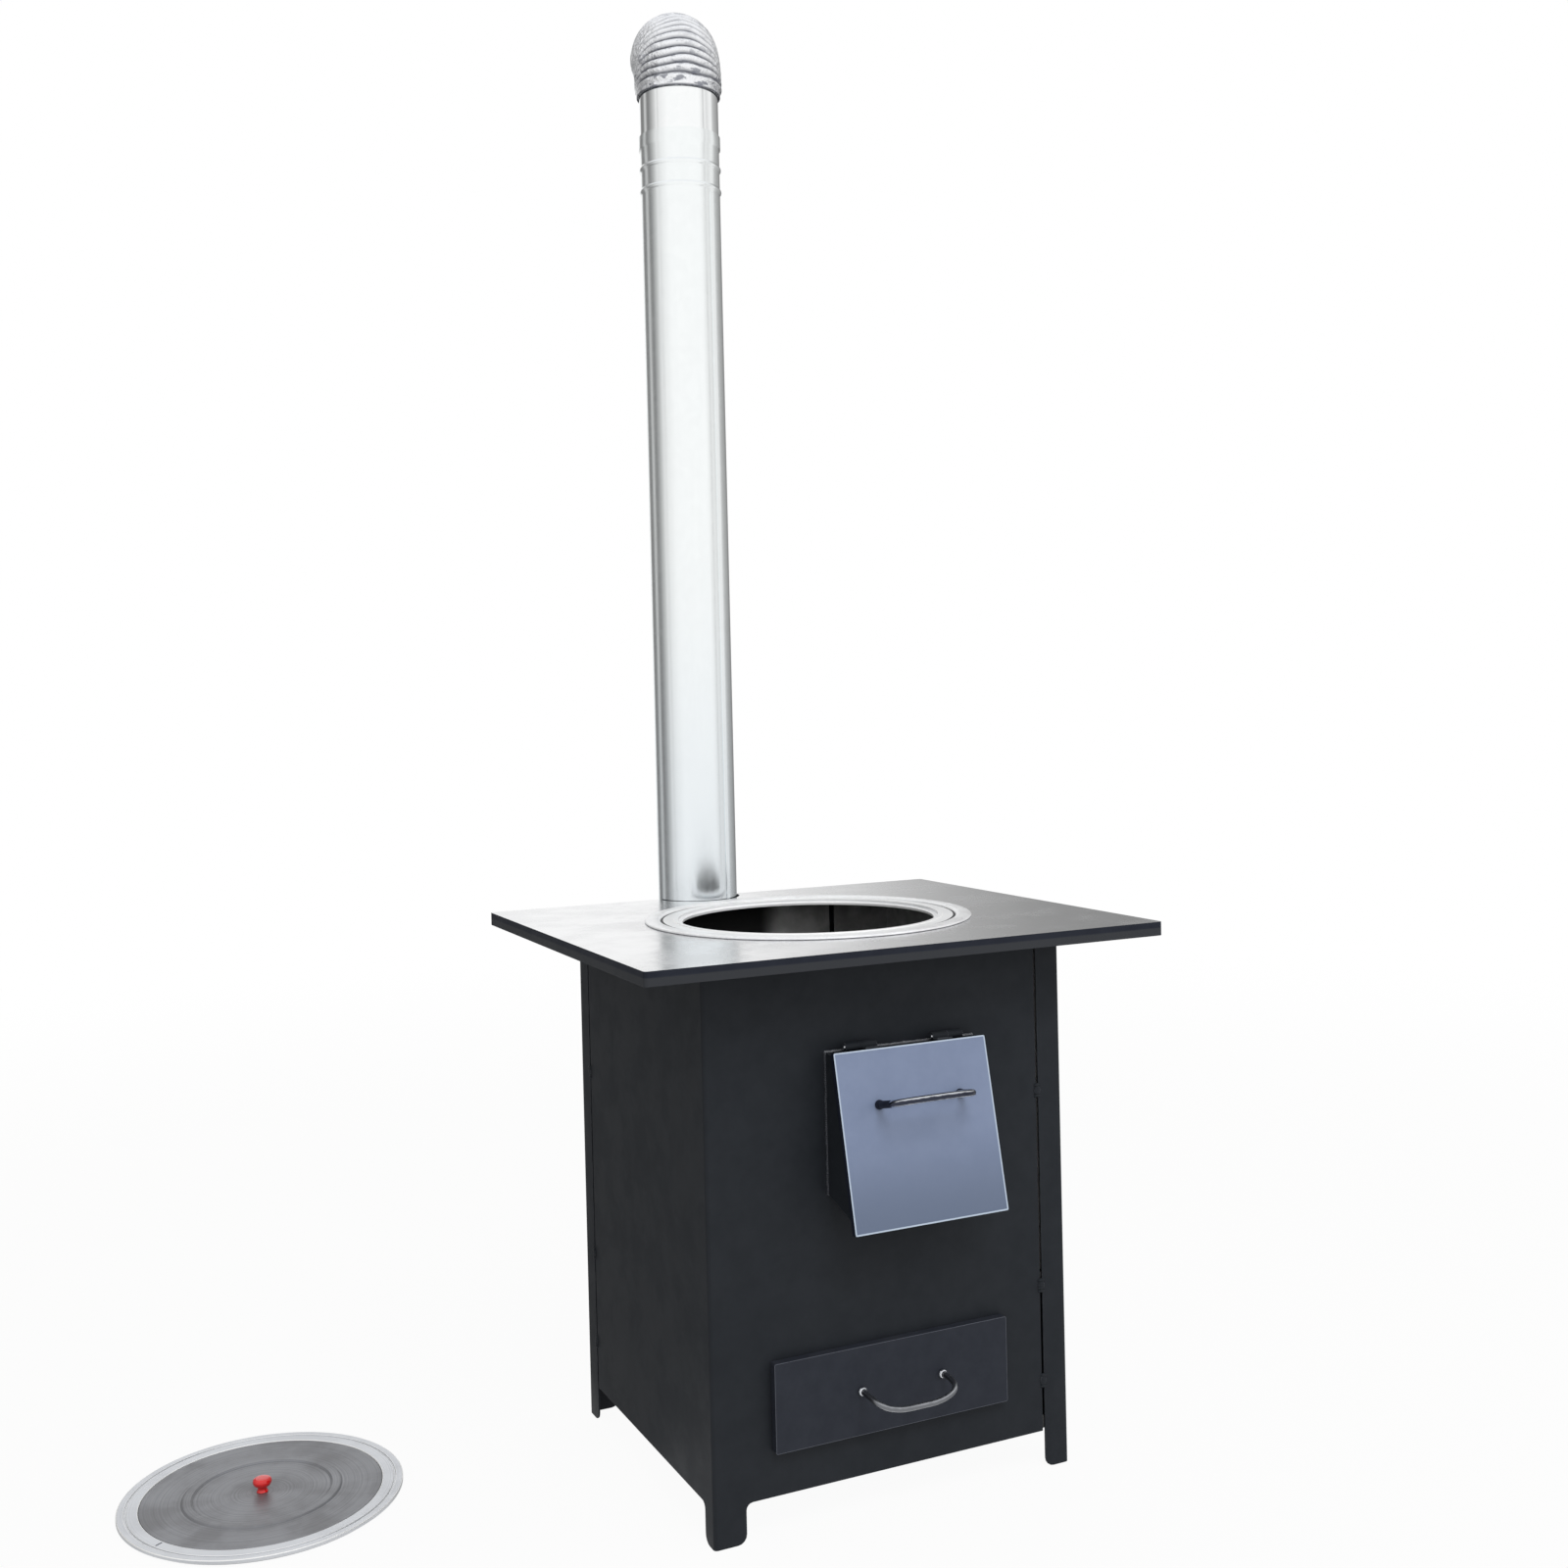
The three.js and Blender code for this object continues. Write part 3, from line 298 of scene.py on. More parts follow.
# The door's blue-grey is a painted reflection of sky on its dark paint; its lower part is painted darker as
# painted shade, and its light edge colour draws a painted highlight round it.
doorSkyReflectionLook = dict(
    dark=(0.181, 0.227, 0.352), light=(0.197, 0.245, 0.375), edge=(0.48, 0.56, 0.68),
    rough=0.36, smudge=0.1, gloss=0.5, waves=0.00025, grain=0.000004, wearAndHighlight=0.92,
    dust=0.02, edgeMetal=0.2, shadingFadeColour=(0.115, 0.149, 0.23),
    shadingFadeFrom=doorLow.z, shadingFadeTo=doorLow.z * 0.4 + doorHigh.z * 0.6,
)
doorSideLook = dict(
    blackLook, dark=(0.007, 0.009, 0.019), light=(0.01, 0.0125, 0.024), edge=(0.2, 0.24, 0.3), gloss=0.2,
)
# The table edge's top strip stays dark as the painted shadow of the rolled fold; below it the edge is painted
# lighter.
tableEdgeLook = dict(
    blackLook, dark=(0.0125, 0.015, 0.024), light=(0.016, 0.019, 0.029), edge=(0.05, 0.053, 0.066),
    gloss=0.16, waves=0.0001, grain=0.000004, wearAndHighlight=0.4, dust=0.0, edgeMetal=0.0,
    shadingFadeColour=(0.034, 0.0365, 0.0425), shadingFadeFrom=tableTopZ - 0.0075, shadingFadeTo=tableTopZ - 0.0055,
)
blackPaint = paintMaterial("blackPaint", blackLook)
drawerPaint = paintMaterial("drawerPaint", drawerLook)
doorSkyReflectionPaint = paintMaterial("doorSkyReflectionPaint", doorSkyReflectionLook)
doorSidePaint = paintMaterial("doorSidePaint", doorSideLook)
tableEdgePaint = paintMaterial("tableEdgePaint", tableEdgeLook)


# Bare sheet inside, sooted in patches; the liner is darkened on its flue side, partly with soot and partly as
# painted shade.
def insideSteelMaterial(name, look):
    material, tree = newMaterial(name, Specular_IOR_Level=0.3)
    skin = skinOf(tree, 0.0006, 0.00002, 300.0)
    at = place(tree)
    soot = remap(tree, cloud(tree, at, 9.0, 8.0, 0.68), 0.36, 0.6)
    if "sootAndShadeFrom" in look:
        # Flue side: soot together with painted shade of the firebox's far corner.
        away = calc(tree, "SUBTRACT", partOf(tree, at, 0), middleOf("grate").x)
        flueSootAndShade = remap(tree, away, look["sootAndShadeFrom"], look["sootAndShadeTo"], 1.0, look["sootAndShadeLeast"])
        soot = calc(tree, "MAXIMUM", times(tree, soot, look["sootPatches"]), flueSootAndShade)
    base = layered(tree, look["dark"], (skin["tone"], look["light"]), (soot, look["soot"]))
    rough = remap(tree, soot, 0.0, 1.0, look["rough"], look["sootRough"])
    metal = remap(tree, soot, 0.0, 1.0, look["metal"], look["sootMetal"])
    return connect(material, base, rough, skin["height"], metal)


insideLook = dict(
    dark=(0.05, 0.05, 0.052), light=(0.1, 0.1, 0.105), rough=0.5, metal=0.6,
    soot=(0.012, 0.012, 0.0125), sootRough=0.85, sootMetal=0.1,
)
# The liner's pale colour is painted light for the inside of the firebox, where little light reaches.
linerLook = dict(
    insideLook, dark=(0.45, 0.45, 0.46), light=(0.6, 0.6, 0.61), rough=0.6, metal=0.3,
    sootAndShadeFrom=0.02, sootAndShadeTo=0.06, sootAndShadeLeast=0.12, sootPatches=0.35,
)
ashLook = dict(
    insideLook, dark=(0.1, 0.1, 0.105), light=(0.17, 0.17, 0.175), soot=(0.045, 0.043, 0.041),
    rough=0.42, metal=0.7,
)
insideSteel = insideSteelMaterial("insideSteel", insideLook)
linerSteel = insideSteelMaterial("linerSteel", linerLook)
ashSteel = insideSteelMaterial("ashSteel", ashLook)

castLook = dict(
    dark=(0.016, 0.016, 0.017), light=(0.04, 0.035, 0.032), ash=(0.3, 0.29, 0.275),
    ashAmount=0.35, sandScale=420.0, sandHeight=0.0002,
)


def castIronMaterial(look):
    material, tree = newMaterial("castIron", Specular_IOR_Level=0.35)
    at = place(tree)
    sand = cloud(tree, at, look["sandScale"], 5.0, 0.7)
    patches = remap(tree, cloud(tree, at, 22.0, 6.0), 0.3, 0.7)
    ash = useGroup(tree, settledDust, amount=look["ashAmount"], scale=26.0)["mask"]
    base = layered(tree, look["dark"], (patches, look["light"]), (ash, look["ash"]))
    rough = remap(tree, sand, 0.3, 0.7, 0.62, 0.88)
    return connect(material, base, rough, times(tree, sand, look["sandHeight"]))


castIron = castIronMaterial(castLook)

tableLook = dict(
    dark=(0.84, 0.845, 0.85), light=(0.91, 0.915, 0.925), heat=(0.7, 0.68, 0.69),
    smudge=(0.6, 0.6, 0.61), smudgeShare=0.12, edge=(0.85, 0.87, 0.9), rough=0.2,
    heatStart=0.188, heatEnd=0.25, brushing=(6.0, 700.0, 700.0), brushHeight=0.000002,
)


# The table's face: satin sheet steel, rolled along X, a little darker where the mouth's heat reaches.
def tableSteelMaterial(look):
    material, tree = newMaterial("tableSteel")
    lines = useGroup(tree, brushedLines, stretch=look["brushing"])
    skin = skinOf(tree, 0.0005, 0.000003)
    mouth = useGroup(tree, turningMarks, centre=tuple(middleOf("mouth_ring_outer")), scale=60.0)
    wearAndHighlightEdge = useGroup(tree, edgeWearAndHighlight, amount=0.8, scale=50.0)["mask"]
    heat = remap(tree, mouth["distance"], look["heatEnd"], look["heatStart"])
    heat = times(tree, heat, remap(tree, skin["smudge"], 0.0, 1.0, 0.05, 0.3))
    smudge = times(tree, skin["smudge"], look["smudgeShare"])
    base = layered(tree, look["dark"], (lines["tone"], look["light"]), (heat, look["heat"]),
                   (smudge, look["smudge"]), (wearAndHighlightEdge, look["edge"]))
    height = plus(tree, skin["height"], times(tree, lines["height"], look["brushHeight"]))
    return connect(material, base, smudged(tree, skin, look, 0.09), height, 1.0)


tableSteel = tableSteelMaterial(tableLook)


def turnedSteelMaterial(name, node, look):
    material, tree = newMaterial(name)
    marks = useGroup(tree, turningMarks, centre=tuple(middleOf(node)), scale=look["marks"])
    skin = skinOf(tree, 0.0002, 0.000004)
    wearAndHighlightEdge = useGroup(tree, edgeWearAndHighlight, amount=0.75, scale=80.0)["mask"]
    stain = times(tree, skin["smudge"], look["stain"])
    base = layered(tree, look["dark"], (marks["tone"], look["light"]), (stain, look["stainColour"]),
                   (wearAndHighlightEdge, look["edge"]))
    height = plus(tree, skin["height"], times(tree, marks["height"], look["markHeight"]))
    return connect(material, base, smudged(tree, skin, look, 0.14), height, look["metal"])


ringLook = dict(
    dark=(0.94, 0.95, 0.98), light=(0.99, 0.995, 1.0), stain=0.1, stainColour=(0.6, 0.58, 0.58),
    edge=(1.0, 1.0, 1.0), rough=0.3, marks=900.0, markHeight=0.000006, metal=0.4,
)
looseRingLook = dict(ringLook, dark=(0.6, 0.62, 0.66), light=(0.74, 0.76, 0.8), metal=0.6)
lidLook = dict(
    ringLook,
    dark=(0.225, 0.23, 0.25), light=(0.305, 0.312, 0.335), stain=0.3,
    stainColour=(0.16, 0.15, 0.145), edge=(0.6, 0.6, 0.62), rough=0.4, marks=500.0, metal=0.55,
)
outerRingSteel = turnedSteelMaterial("outerRingSteel", "mouth_ring_outer", ringLook)
looseRingSteel = turnedSteelMaterial("looseRingSteel", "mouth_ring_middle", looseRingLook)
lidSteel = turnedSteelMaterial("lidSteel", "mouth_lid", lidLook)

rimLook = dict(
    dark=(0.86, 0.87, 0.9), light=(0.98, 0.985, 1.0), stain=(0.7, 0.685, 0.7), metal=0.4,
    hammerScale=170.0, hammerDepth=0.00012, speckScale=260.0, speckHeight=0.00004,
)


# The ring's outer rim is rolled and hammered, with a rough skin.
def rimSteelMaterial(look):
    material, tree = newMaterial("rimSteel")
    at = place(tree)
    hammered = cells(tree, at, look["hammerScale"], feature="SMOOTH_F1")["Distance"]
    speck = cloud(tree, at, look["speckScale"], 6.0, 0.7)
    patches = remap(tree, cloud(tree, at, 24.0, 4.0), 0.45, 0.75, 0.0, 0.5)
    specks = remap(tree, speck, 0.32, 0.68)
    base = layered(tree, look["dark"], (specks, look["light"]), (patches, look["stain"]))
    dimples = times(tree, hammered, look["hammerDepth"])
    height = plus(tree, dimples, times(tree, speck, look["speckHeight"]))
    return connect(material, base, remap(tree, speck, 0.3, 0.7, 0.3, 0.44), height, look["metal"])


rimSteel = rimSteelMaterial(rimLook)

zincEdge = dict(colour=(0.9, 0.92, 0.93), amount=0.7)


# Bright rolled metal. A look may add heat tint, painted shade in valleys, painted shade in creases of foil,
# or a painted dark reflection on a bar's front.
def zincMaterial(name, look):
    material, tree = newMaterial(name)
    spangle = useGroup(tree, zincSpangle, scale=look["spangle"])["tone"]
    skin = skinOf(tree, look["waves"], 0.000003)
    drawn = useGroup(tree, brushedLines, stretch=look["drawn"])
    wearAndHighlightEdge = useGroup(tree, edgeWearAndHighlight, amount=zincEdge["amount"], scale=60.0)["mask"]
    bloom = times(tree, drawn["tone"], look["bloom"])
    layers = [(spangle, look["light"]), (bloom, look["bloomColour"])]
    height = partOf(tree, place(tree), 2)
    if "heat" in look:
        heat = remap(tree, height, look["heatHigh"], look["heatLow"], 0.0, look["heat"])
        layers.append((heat, look["heatColour"]))
    # Painted shade: the hose is darkened deep in each valley and on the cuff's lowest rim.
    if "valley" in look:
        layers.append((times(tree, attribute(tree, "valley"), look["valley"]), look["valleyShadeColour"]))
    # Painted shade: folds of the foil near the hose's bottom are darkened.
    if "crease" in look:
        near = remap(tree, height, look["creaseLow"], look["creaseHigh"], 1.0, 0.25)
        folds = cloud(tree, vectorCalc(tree, "MULTIPLY", place(tree), look["creaseScale"]), 1.0, 3.0, 0.6)
        dark = times(tree, times(tree, near, remap(tree, folds, 0.52, 0.63)), look["crease"])
        layers.append((dark, look["creaseShadeColour"]))
    # Painted reflection: a bar's front is painted dark where a shiny rod reflects the dark floor.
    if "reflectionBand" in look:
        darkReflection = useGroup(tree, paintedReflectionBand, amount=look["reflectionBand"])["mask"]
        layers.append((darkReflection, look["reflectionBandColour"]))
    base = layered(tree, look["dark"], *layers, (wearAndHighlightEdge, zincEdge["colour"]))
    rough = remap(tree, spangle, 0.0, 1.0, look["rough"], look["rough"] + look["roughSpread"])
    rough = plus(tree, rough, times(tree, skin["smudge"], 0.04))
    bumps = plus(tree, skin["height"], times(tree, drawn["height"], look["drawnHeight"]))
    return connect(material, base, rough, bumps, 1.0)


pipeLook = dict(
    dark=(0.93, 0.955, 0.955), light=(0.96, 0.985, 0.985), bloomColour=(0.84, 0.875, 0.88),
    bloom=0.2, rough=0.14, roughSpread=0.04, spangle=95.0, waves=0.0002,
    drawn=(55.0, 55.0, 1.4), drawnHeight=0.00018,
    heat=0.42, heatHigh=tableTopZ + 0.5, heatLow=tableTopZ, heatColour=(0.7, 0.77, 0.83),
)
neckLook = dict(
    dark=(0.95, 0.965, 0.965), light=(0.98, 0.99, 0.99), bloomColour=(0.86, 0.89, 0.89),
    bloom=0.15, rough=0.045, roughSpread=0.02, spangle=60.0, waves=0.00015,
    drawn=(50.0, 50.0, 3.0), drawnHeight=0.0001,
)
# The hose's valley and crease colours are painted shade.
hoseLook = dict(
    dark=(0.93, 0.94, 0.96), light=(0.97, 0.98, 1.0), bloomColour=(0.76, 0.77, 0.81),
    bloom=0.08, rough=0.07, roughSpread=0.06, spangle=150.0, waves=0.0006,
    drawn=(70.0, 70.0, 70.0), drawnHeight=0.0035,
    valley=0.96, valleyShadeColour=(0.075, 0.08, 0.105),
    crease=0.8, creaseScale=(58.0, 58.0, 120.0), creaseShadeColour=(0.16, 0.17, 0.21),
    creaseLow=hoseLow.z, creaseHigh=hoseLow.z + 0.075,
)
# The bars' dark front band is a painted reflection of the floor; the drawer's bar has a lighter one.
barLook = dict(
    dark=(0.62, 0.64, 0.68), light=(0.78, 0.8, 0.83), bloomColour=(0.3, 0.31, 0.34),
    bloom=0.3, rough=0.16, roughSpread=0.06, spangle=240.0, waves=0.0002,
    drawn=(12.0, 500.0, 500.0), drawnHeight=0.00001,
    reflectionBand=0.97, reflectionBandColour=(0.022, 0.026, 0.045),
)
drawerBarLook = dict(
    barLook, dark=(0.34, 0.35, 0.37), light=(0.42, 0.43, 0.45), rough=0.34, reflectionBand=0.7,
    reflectionBandColour=(0.1, 0.104, 0.115),
)
galvanised = zincMaterial("galvanised", pipeLook)
neckZinc = zincMaterial("neckZinc", neckLook)
hoseAluminium = zincMaterial("hoseAluminium", hoseLook)
barSteel = zincMaterial("barSteel", barLook)
drawerBarSteel = zincMaterial("drawerBarSteel", drawerBarLook)
screwSteel = zincMaterial("screwSteel", dict(barLook, reflectionBand=0.0))

enamelLook = dict(dark=(0.68, 0.002, 0.003), light=(0.84, 0.006, 0.006), rough=0.26)


def enamelMaterial(look):
    material, tree = newMaterial("redEnamel", Coat_Weight=0.6, Coat_Roughness=0.12)
    skin = skinOf(tree, 0.0, 0.000006, 600.0)
    base = layered(tree, look["dark"], (skin["tone"], look["light"]))
    return connect(material, base, smudged(tree, skin, look, 0.16), skin["height"])


redEnamel = enamelMaterial(enamelLook)


def weldMaterial(name, dark, light):
    material, tree = newMaterial(name)
    speck = cloud(tree, place(tree), 500.0, 6.0, 0.7)
    base = layered(tree, dark, (remap(tree, speck, 0.35, 0.65), light))
    rough = remap(tree, speck, 0.3, 0.7, 0.35, 0.6)
    return connect(material, base, rough, times(tree, speck, 0.00025), 0.4)


weldMetal = weldMaterial("weldMetal", (0.16, 0.165, 0.18), (0.36, 0.37, 0.4))
paintedWeld = weldMaterial("paintedWeld", (0.03, 0.033, 0.04), (0.075, 0.08, 0.095))
# Painted shade: the groove round the outer ring's rim is painted near black.
grooveShade = weldMaterial("grooveShade", (0.012, 0.012, 0.014), (0.03, 0.03, 0.033))
print("materials made:", len(bpy.data.materials))


# Modelling helpers

def meshOf(bm, name):
    mesh = bpy.data.meshes.new(name)
    bm.to_mesh(mesh)
    bm.free()
    return mesh


def linked(name, data):
    holder = bpy.data.objects.new(name, data)
    bpy.context.scene.collection.objects.link(holder)
    return holder


def evaluatedMesh(holder):
    graph = bpy.context.evaluated_depsgraph_get()
    return bpy.data.meshes.new_from_object(holder.evaluated_get(graph))


def evenNormals(piece, sharp):
    piece.data.set_sharp_from_angle(angle=math.radians(sharp))
    piece.modifiers.new("evenNormals", "WEIGHTED_NORMAL").keep_sharp = True


def finished(bm, name, body, materials, node=None, sharp=40):
    mesh = meshOf(bm, name)
    for material in materials:
        mesh.materials.append(material)
    mesh.shade_smooth()
    piece = linked(name, mesh)
    evenNormals(piece, sharp)
    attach(piece, body)
    if node:
        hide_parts(node)
    return piece


def mergedCopy(node):
    bm = bmesh.new()
    bm.from_mesh(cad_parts[node].data)
    bmesh.ops.remove_doubles(bm, verts=bm.verts, dist=0.00001)
    bmesh.ops.dissolve_limit(bm, angle_limit=math.radians(0.6), verts=bm.verts, edges=bm.edges)
    return bm


def softenEdges(bm, edge, sharp=30, chosen=None, segments=2):
    layer = bm.faces.layers.float.get("bevelFace") or bm.faces.layers.float.new("bevelFace")
    limit = math.radians(sharp)
    edges = [e for e in bm.edges if e.is_manifold and e.calc_face_angle(0) > limit]
    if chosen:
        edges = [e for e in edges if chosen(e)]
    made = bmesh.ops.bevel(
        bm, geom=edges, offset=edge, offset_type="OFFSET", segments=segments, profile=0.5,
        affect="EDGES", clamp_overlap=True, material=-1, loop_slide=True,
    )
    for face in made["faces"]:
        face[layer] = 1.0


# A strip along the outline of the flat faces that look one way, which the edge mask paints light: a painted
# edge highlight, broken up like wear.
def highlightOutline(bm, outwards, width):
    layer = bm.faces.layers.float["bevelFace"]
    flat = [face for face in bm.faces if face.normal.dot(outwards) > 0.999 and face[layer] < 0.5]
    made = bmesh.ops.inset_region(bm, faces=flat, thickness=width, depth=0, use_even_offset=True)
    for face in made["faces"]:
        face[layer] = 1.0


def softened(node, body, material, edge, sharp=30):
    bm = mergedCopy(node)
    softenEdges(bm, edge, sharp)
    finished(bm, node + "_sheet", body, [material], node)


# A closed profile of (radius, height) corners, rounded and spun round the Z axis.
def spunBody(settings, profile):
    bm = bmesh.new()
    onAxis = 0.00001
    bm.faces.new([bm.verts.new((radius, 0, height)) for radius, height in profile])
    rounding = settings["rounding"]
    if rounding:
        inner = [v for v in bm.verts if v.co.x > onAxis]
        bmesh.ops.bevel(
            bm, geom=inner, offset=rounding, offset_type="OFFSET", segments=3, profile=0.5,
            affect="VERTICES", clamp_overlap=True, material=-1,
        )
    bmesh.ops.delete(bm, geom=bm.faces[:], context="FACES_ONLY")
    axis = [e for e in bm.edges if all(v.co.x < onAxis for v in e.verts)]
    bmesh.ops.delete(bm, geom=axis, context="EDGES")
    bmesh.ops.spin(
        bm, geom=bm.verts[:] + bm.edges[:], cent=(0, 0, 0), axis=(0, 0, 1),
        angle=2 * math.pi, steps=settings["steps"], use_merge=True,
    )
    bmesh.ops.remove_doubles(bm, verts=bm.verts, dist=0.000002)
    bmesh.ops.recalc_face_normals(bm, faces=bm.faces)
    return bm


def moved(bm, matrix):
    bmesh.ops.transform(bm, matrix=matrix, verts=bm.verts)
    return bm


def shift(x, y, z):
    return Matrix.Translation((x, y, z))


def turned(degrees, axis):
    return Matrix.Rotation(math.radians(degrees), 4, axis)


def joinInto(bm, other):
    mesh = meshOf(other, "part")
    bm.from_mesh(mesh)
    bpy.data.meshes.remove(mesh)


def cutter(size, matrix):
    bm = bmesh.new()
    bmesh.ops.create_cube(bm, size=1.0, matrix=matrix @ Matrix.Diagonal((*size, 1)))
    return linked("cutter", meshOf(bm, "cutter"))


def cutWith(piece, *tools):
    for tool in tools:
        cut = piece.modifiers.new("cut", "BOOLEAN")
        cut.object = tool
        cut.operation = "DIFFERENCE"
        cut.solver = "EXACT"
        piece.modifiers.move(len(piece.modifiers) - 1, 0)
    piece.data = evaluatedMesh(piece)
    piece.modifiers.clear()
    for tool in tools:
        bpy.data.objects.remove(tool)
    evenNormals(piece, 35)


# A round rod along a smooth curve through points, its ends closed.
def rodThrough(points, radius):
    curve = bpy.data.curves.new("rod", "CURVE")
    curve.dimensions = "3D"
    curve.bevel_depth = radius
    curve.bevel_resolution = 3
    curve.resolution_u = 10
    curve.use_fill_caps = True
    spline = curve.splines.new("BEZIER")
    spline.bezier_points.add(len(points) - 1)
    for knot, point in zip(spline.bezier_points, points):
        knot.co = point
        knot.handle_left_type = knot.handle_right_type = "AUTO"
    holder = linked("rod", curve)
    bm = bmesh.new()
    bm.from_mesh(evaluatedMesh(holder))
    bpy.data.objects.remove(holder)
    bmesh.ops.remove_doubles(bm, verts=bm.verts, dist=0.000001)
    return bm


# A run of weld ripples between two points, lying on a wall with the given normal.
def weldBead(bm, start, end, normal, bead, seed):
    start, end, normal = Vector(start), Vector(end), Vector(normal).normalized()
    along = end - start
    count = max(2, round(along.length / bead["pitch"]))
    side = normal.cross(along.normalized())
    turn = Matrix((side, along.normalized(), normal)).transposed().to_4x4()
    for i in range(count + 1):
        wobble = noise.noise(Vector((i * 0.37, seed, 0.5)))
        width, height = bead["width"] * (1 + 0.25 * wobble), bead["height"] * (1 + 0.3 * wobble)
        at = start + along * i / count + side * bead["width"] * 0.12 * wobble
        matrix = shift(*at) @ turn @ Matrix.Diagonal((width, bead["pitch"] * 1.35, height, 1))
        bmesh.ops.create_uvsphere(bm, u_segments=10, v_segments=6, radius=0.5, matrix=matrix)


# Body

# Finish, slot, how far the edges are softened, and the sheets.
sheets = [
    (blackPaint, "black_paint", 0.0004, ["front_left_shell", "rear_right_shell"]),
    (ashSteel, "inside_steel", 0.0004, ["base_plate", "drawer_runner_left", "drawer_runner_right"]),
    (insideSteel, "inside_steel", 0.0005, ["grate_shelf"]),
    (linerSteel, "inside_steel", 0.0004, ["firebox_liner"]),
    (blackPaint, "black_paint", 0.0005, ["feeder_hood"]),
    (insideSteel, "inside_steel", 0.0004, ["feeder_throat"]),
    (galvanised, "galvanised_steel", 0.0004, ["flue_collar"]),
    (galvanised, "galvanised_steel", 0.0002, ["flue_elbow"]),
]
for finish, slot, edge, nodes in sheets:
    for node in nodes:
        softened(node, "stove", finish, edge)
softened("grate", "grate", castIron, 0.0009, sharp=35)

seamWeld = dict(
    heights=(0.096, 0.201, 0.416), length=0.012, gap=0.0015,
    width=0.0085, height=0.0034, pitch=0.0028,
)


# Tacks that close the front seam at the right and the left wall's seam at the rear.
def makeSeamWelds():
    bm = bmesh.new()
    half = seamWeld["length"] / 2
    low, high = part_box("front_left_shell")
    gap = seamWeld["gap"]
    seams = [(high.x + gap, low.y, (0, -1, 0), 0), (low.x, high.y + gap, (-1, 0, 0), 7)]
    for number, z in enumerate(seamWeld["heights"]):
        for x, y, normal, seed in seams:
            weldBead(bm, (x, y, z - half), (x, y, z + half), normal, seamWeld, number + seed)
    finished(bm, "seam_welds", "stove", [blackPaint])


makeSeamWelds()

hoodWeld = dict(width=0.0042, height=0.0036, pitch=0.0022, drop=0.1465)


def makeHoodWeld():
    bm = bmesh.new()
    low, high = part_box("feeder_hood")
    for seed, (x, side) in enumerate([(low.x, -1), (high.x, 1)]):
        lower = (x, high.y, high.z - hoodWeld["drop"])
        weldBead(bm, lower, (x, high.y, high.z), (side, -1, 0), hoodWeld, seed)
    for face in bm.faces:
        face.material_index = 1
    weldBead(bm, (low.x, high.y, high.z), (high.x, high.y, high.z), (0, -1, 1), hoodWeld, 5)
    finished(bm, "hood_weld", "stove", [weldMetal, paintedWeld])


makeHoodWeld()
print("body made")

# Table and rings

table = dict(fold=0.004, edge=0.0004, foldRise=0.93, rimReach=0.0025)


def makeTable():
    bm = mergedCopy("table_top")
    low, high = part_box("table_top")

    def onRim(edge):
        middle = (edge.verts[0].co + edge.verts[1].co) / 2
        flat = all(abs(v.co.z - high.z) < 0.00005 for v in edge.verts)
        reach = min(middle.x - low.x, high.x - middle.x, middle.y - low.y, high.y - middle.y)
        return flat and reach < table["rimReach"]

    softenEdges(bm, table["edge"], 50, lambda edge: not onRim(edge))
    layer = bm.faces.layers.float["bevelFace"]
    wearAndHighlightEdge = [face for face in bm.faces if face[layer] > 0]
    softenEdges(bm, table["fold"], 30, onRim, segments=6)
    for face in bm.faces:
        face.material_index = 0 if face.normal.z > table["foldRise"] else 1
        if face not in wearAndHighlightEdge:
            face[layer] = 0.0
    finished(bm, "table_sheet", "stove", [tableSteel, tableEdgePaint], "table_top")


makeTable()

# Both rings: flatEnd is where the hammered rim starts, lipEnd and lipFace pick the lip's narrow worn faces.
outerRing = dict(
    profile=[(0.144, -0.0045), (0.1755, -0.0045), (0.1755, 0.0003), (0.1864, 0.0003), (0.187, 0.0012),
             (0.1862, 0.0024), (0.1836, 0.0032), (0.1782, 0.0034), (0.1732, 0.0032), (0.1702, 0.0024),
             (0.169, 0.0006), (0.1674, 0.0004), (0.1658, 0.0015), (0.1542, 0.0015), (0.154, 0.0023),
             (0.149, 0.0023), (0.149, -0.0015), (0.144, -0.0015)],
    rounding=0.00035, steps=128, slotAngle=-7.5, slot=(0.154, 0.182), slotWidth=0.0024,
    flatEnd=0.1685, groove=(0.1662, 0.1694), lipEnd=0.155, lipFace=0.0000045, hammered=0.0002,
    seat=tableTopZ,
)
# The loose ring has no rim and no groove, and its lowest face lies on the floor.
middleRing = dict(
    profile=[(0.1215, -0.0045), (0.1435, -0.0045), (0.1435, -0.0012), (0.1485, -0.0012), (0.1485, 0.0019),
             (0.1478, 0.0023), (0.1411, 0.0023), (0.1406, 0.0008), (0.139, 0.0008), (0.1385, 0.0023),
             (0.1271, 0.0023), (0.1265, 0.0018), (0.1265, -0.0015), (0.1215, -0.0015)],
    rounding=0.0003, steps=128, slotAngle=212, slot=(0.1285, 0.1365), slotWidth=0.0024,
    flatEnd=1.0, groove=(1.0, 1.0), lipEnd=1.0, lipFace=0.000003, hammered=0.0,
    seat=0.0045,
)


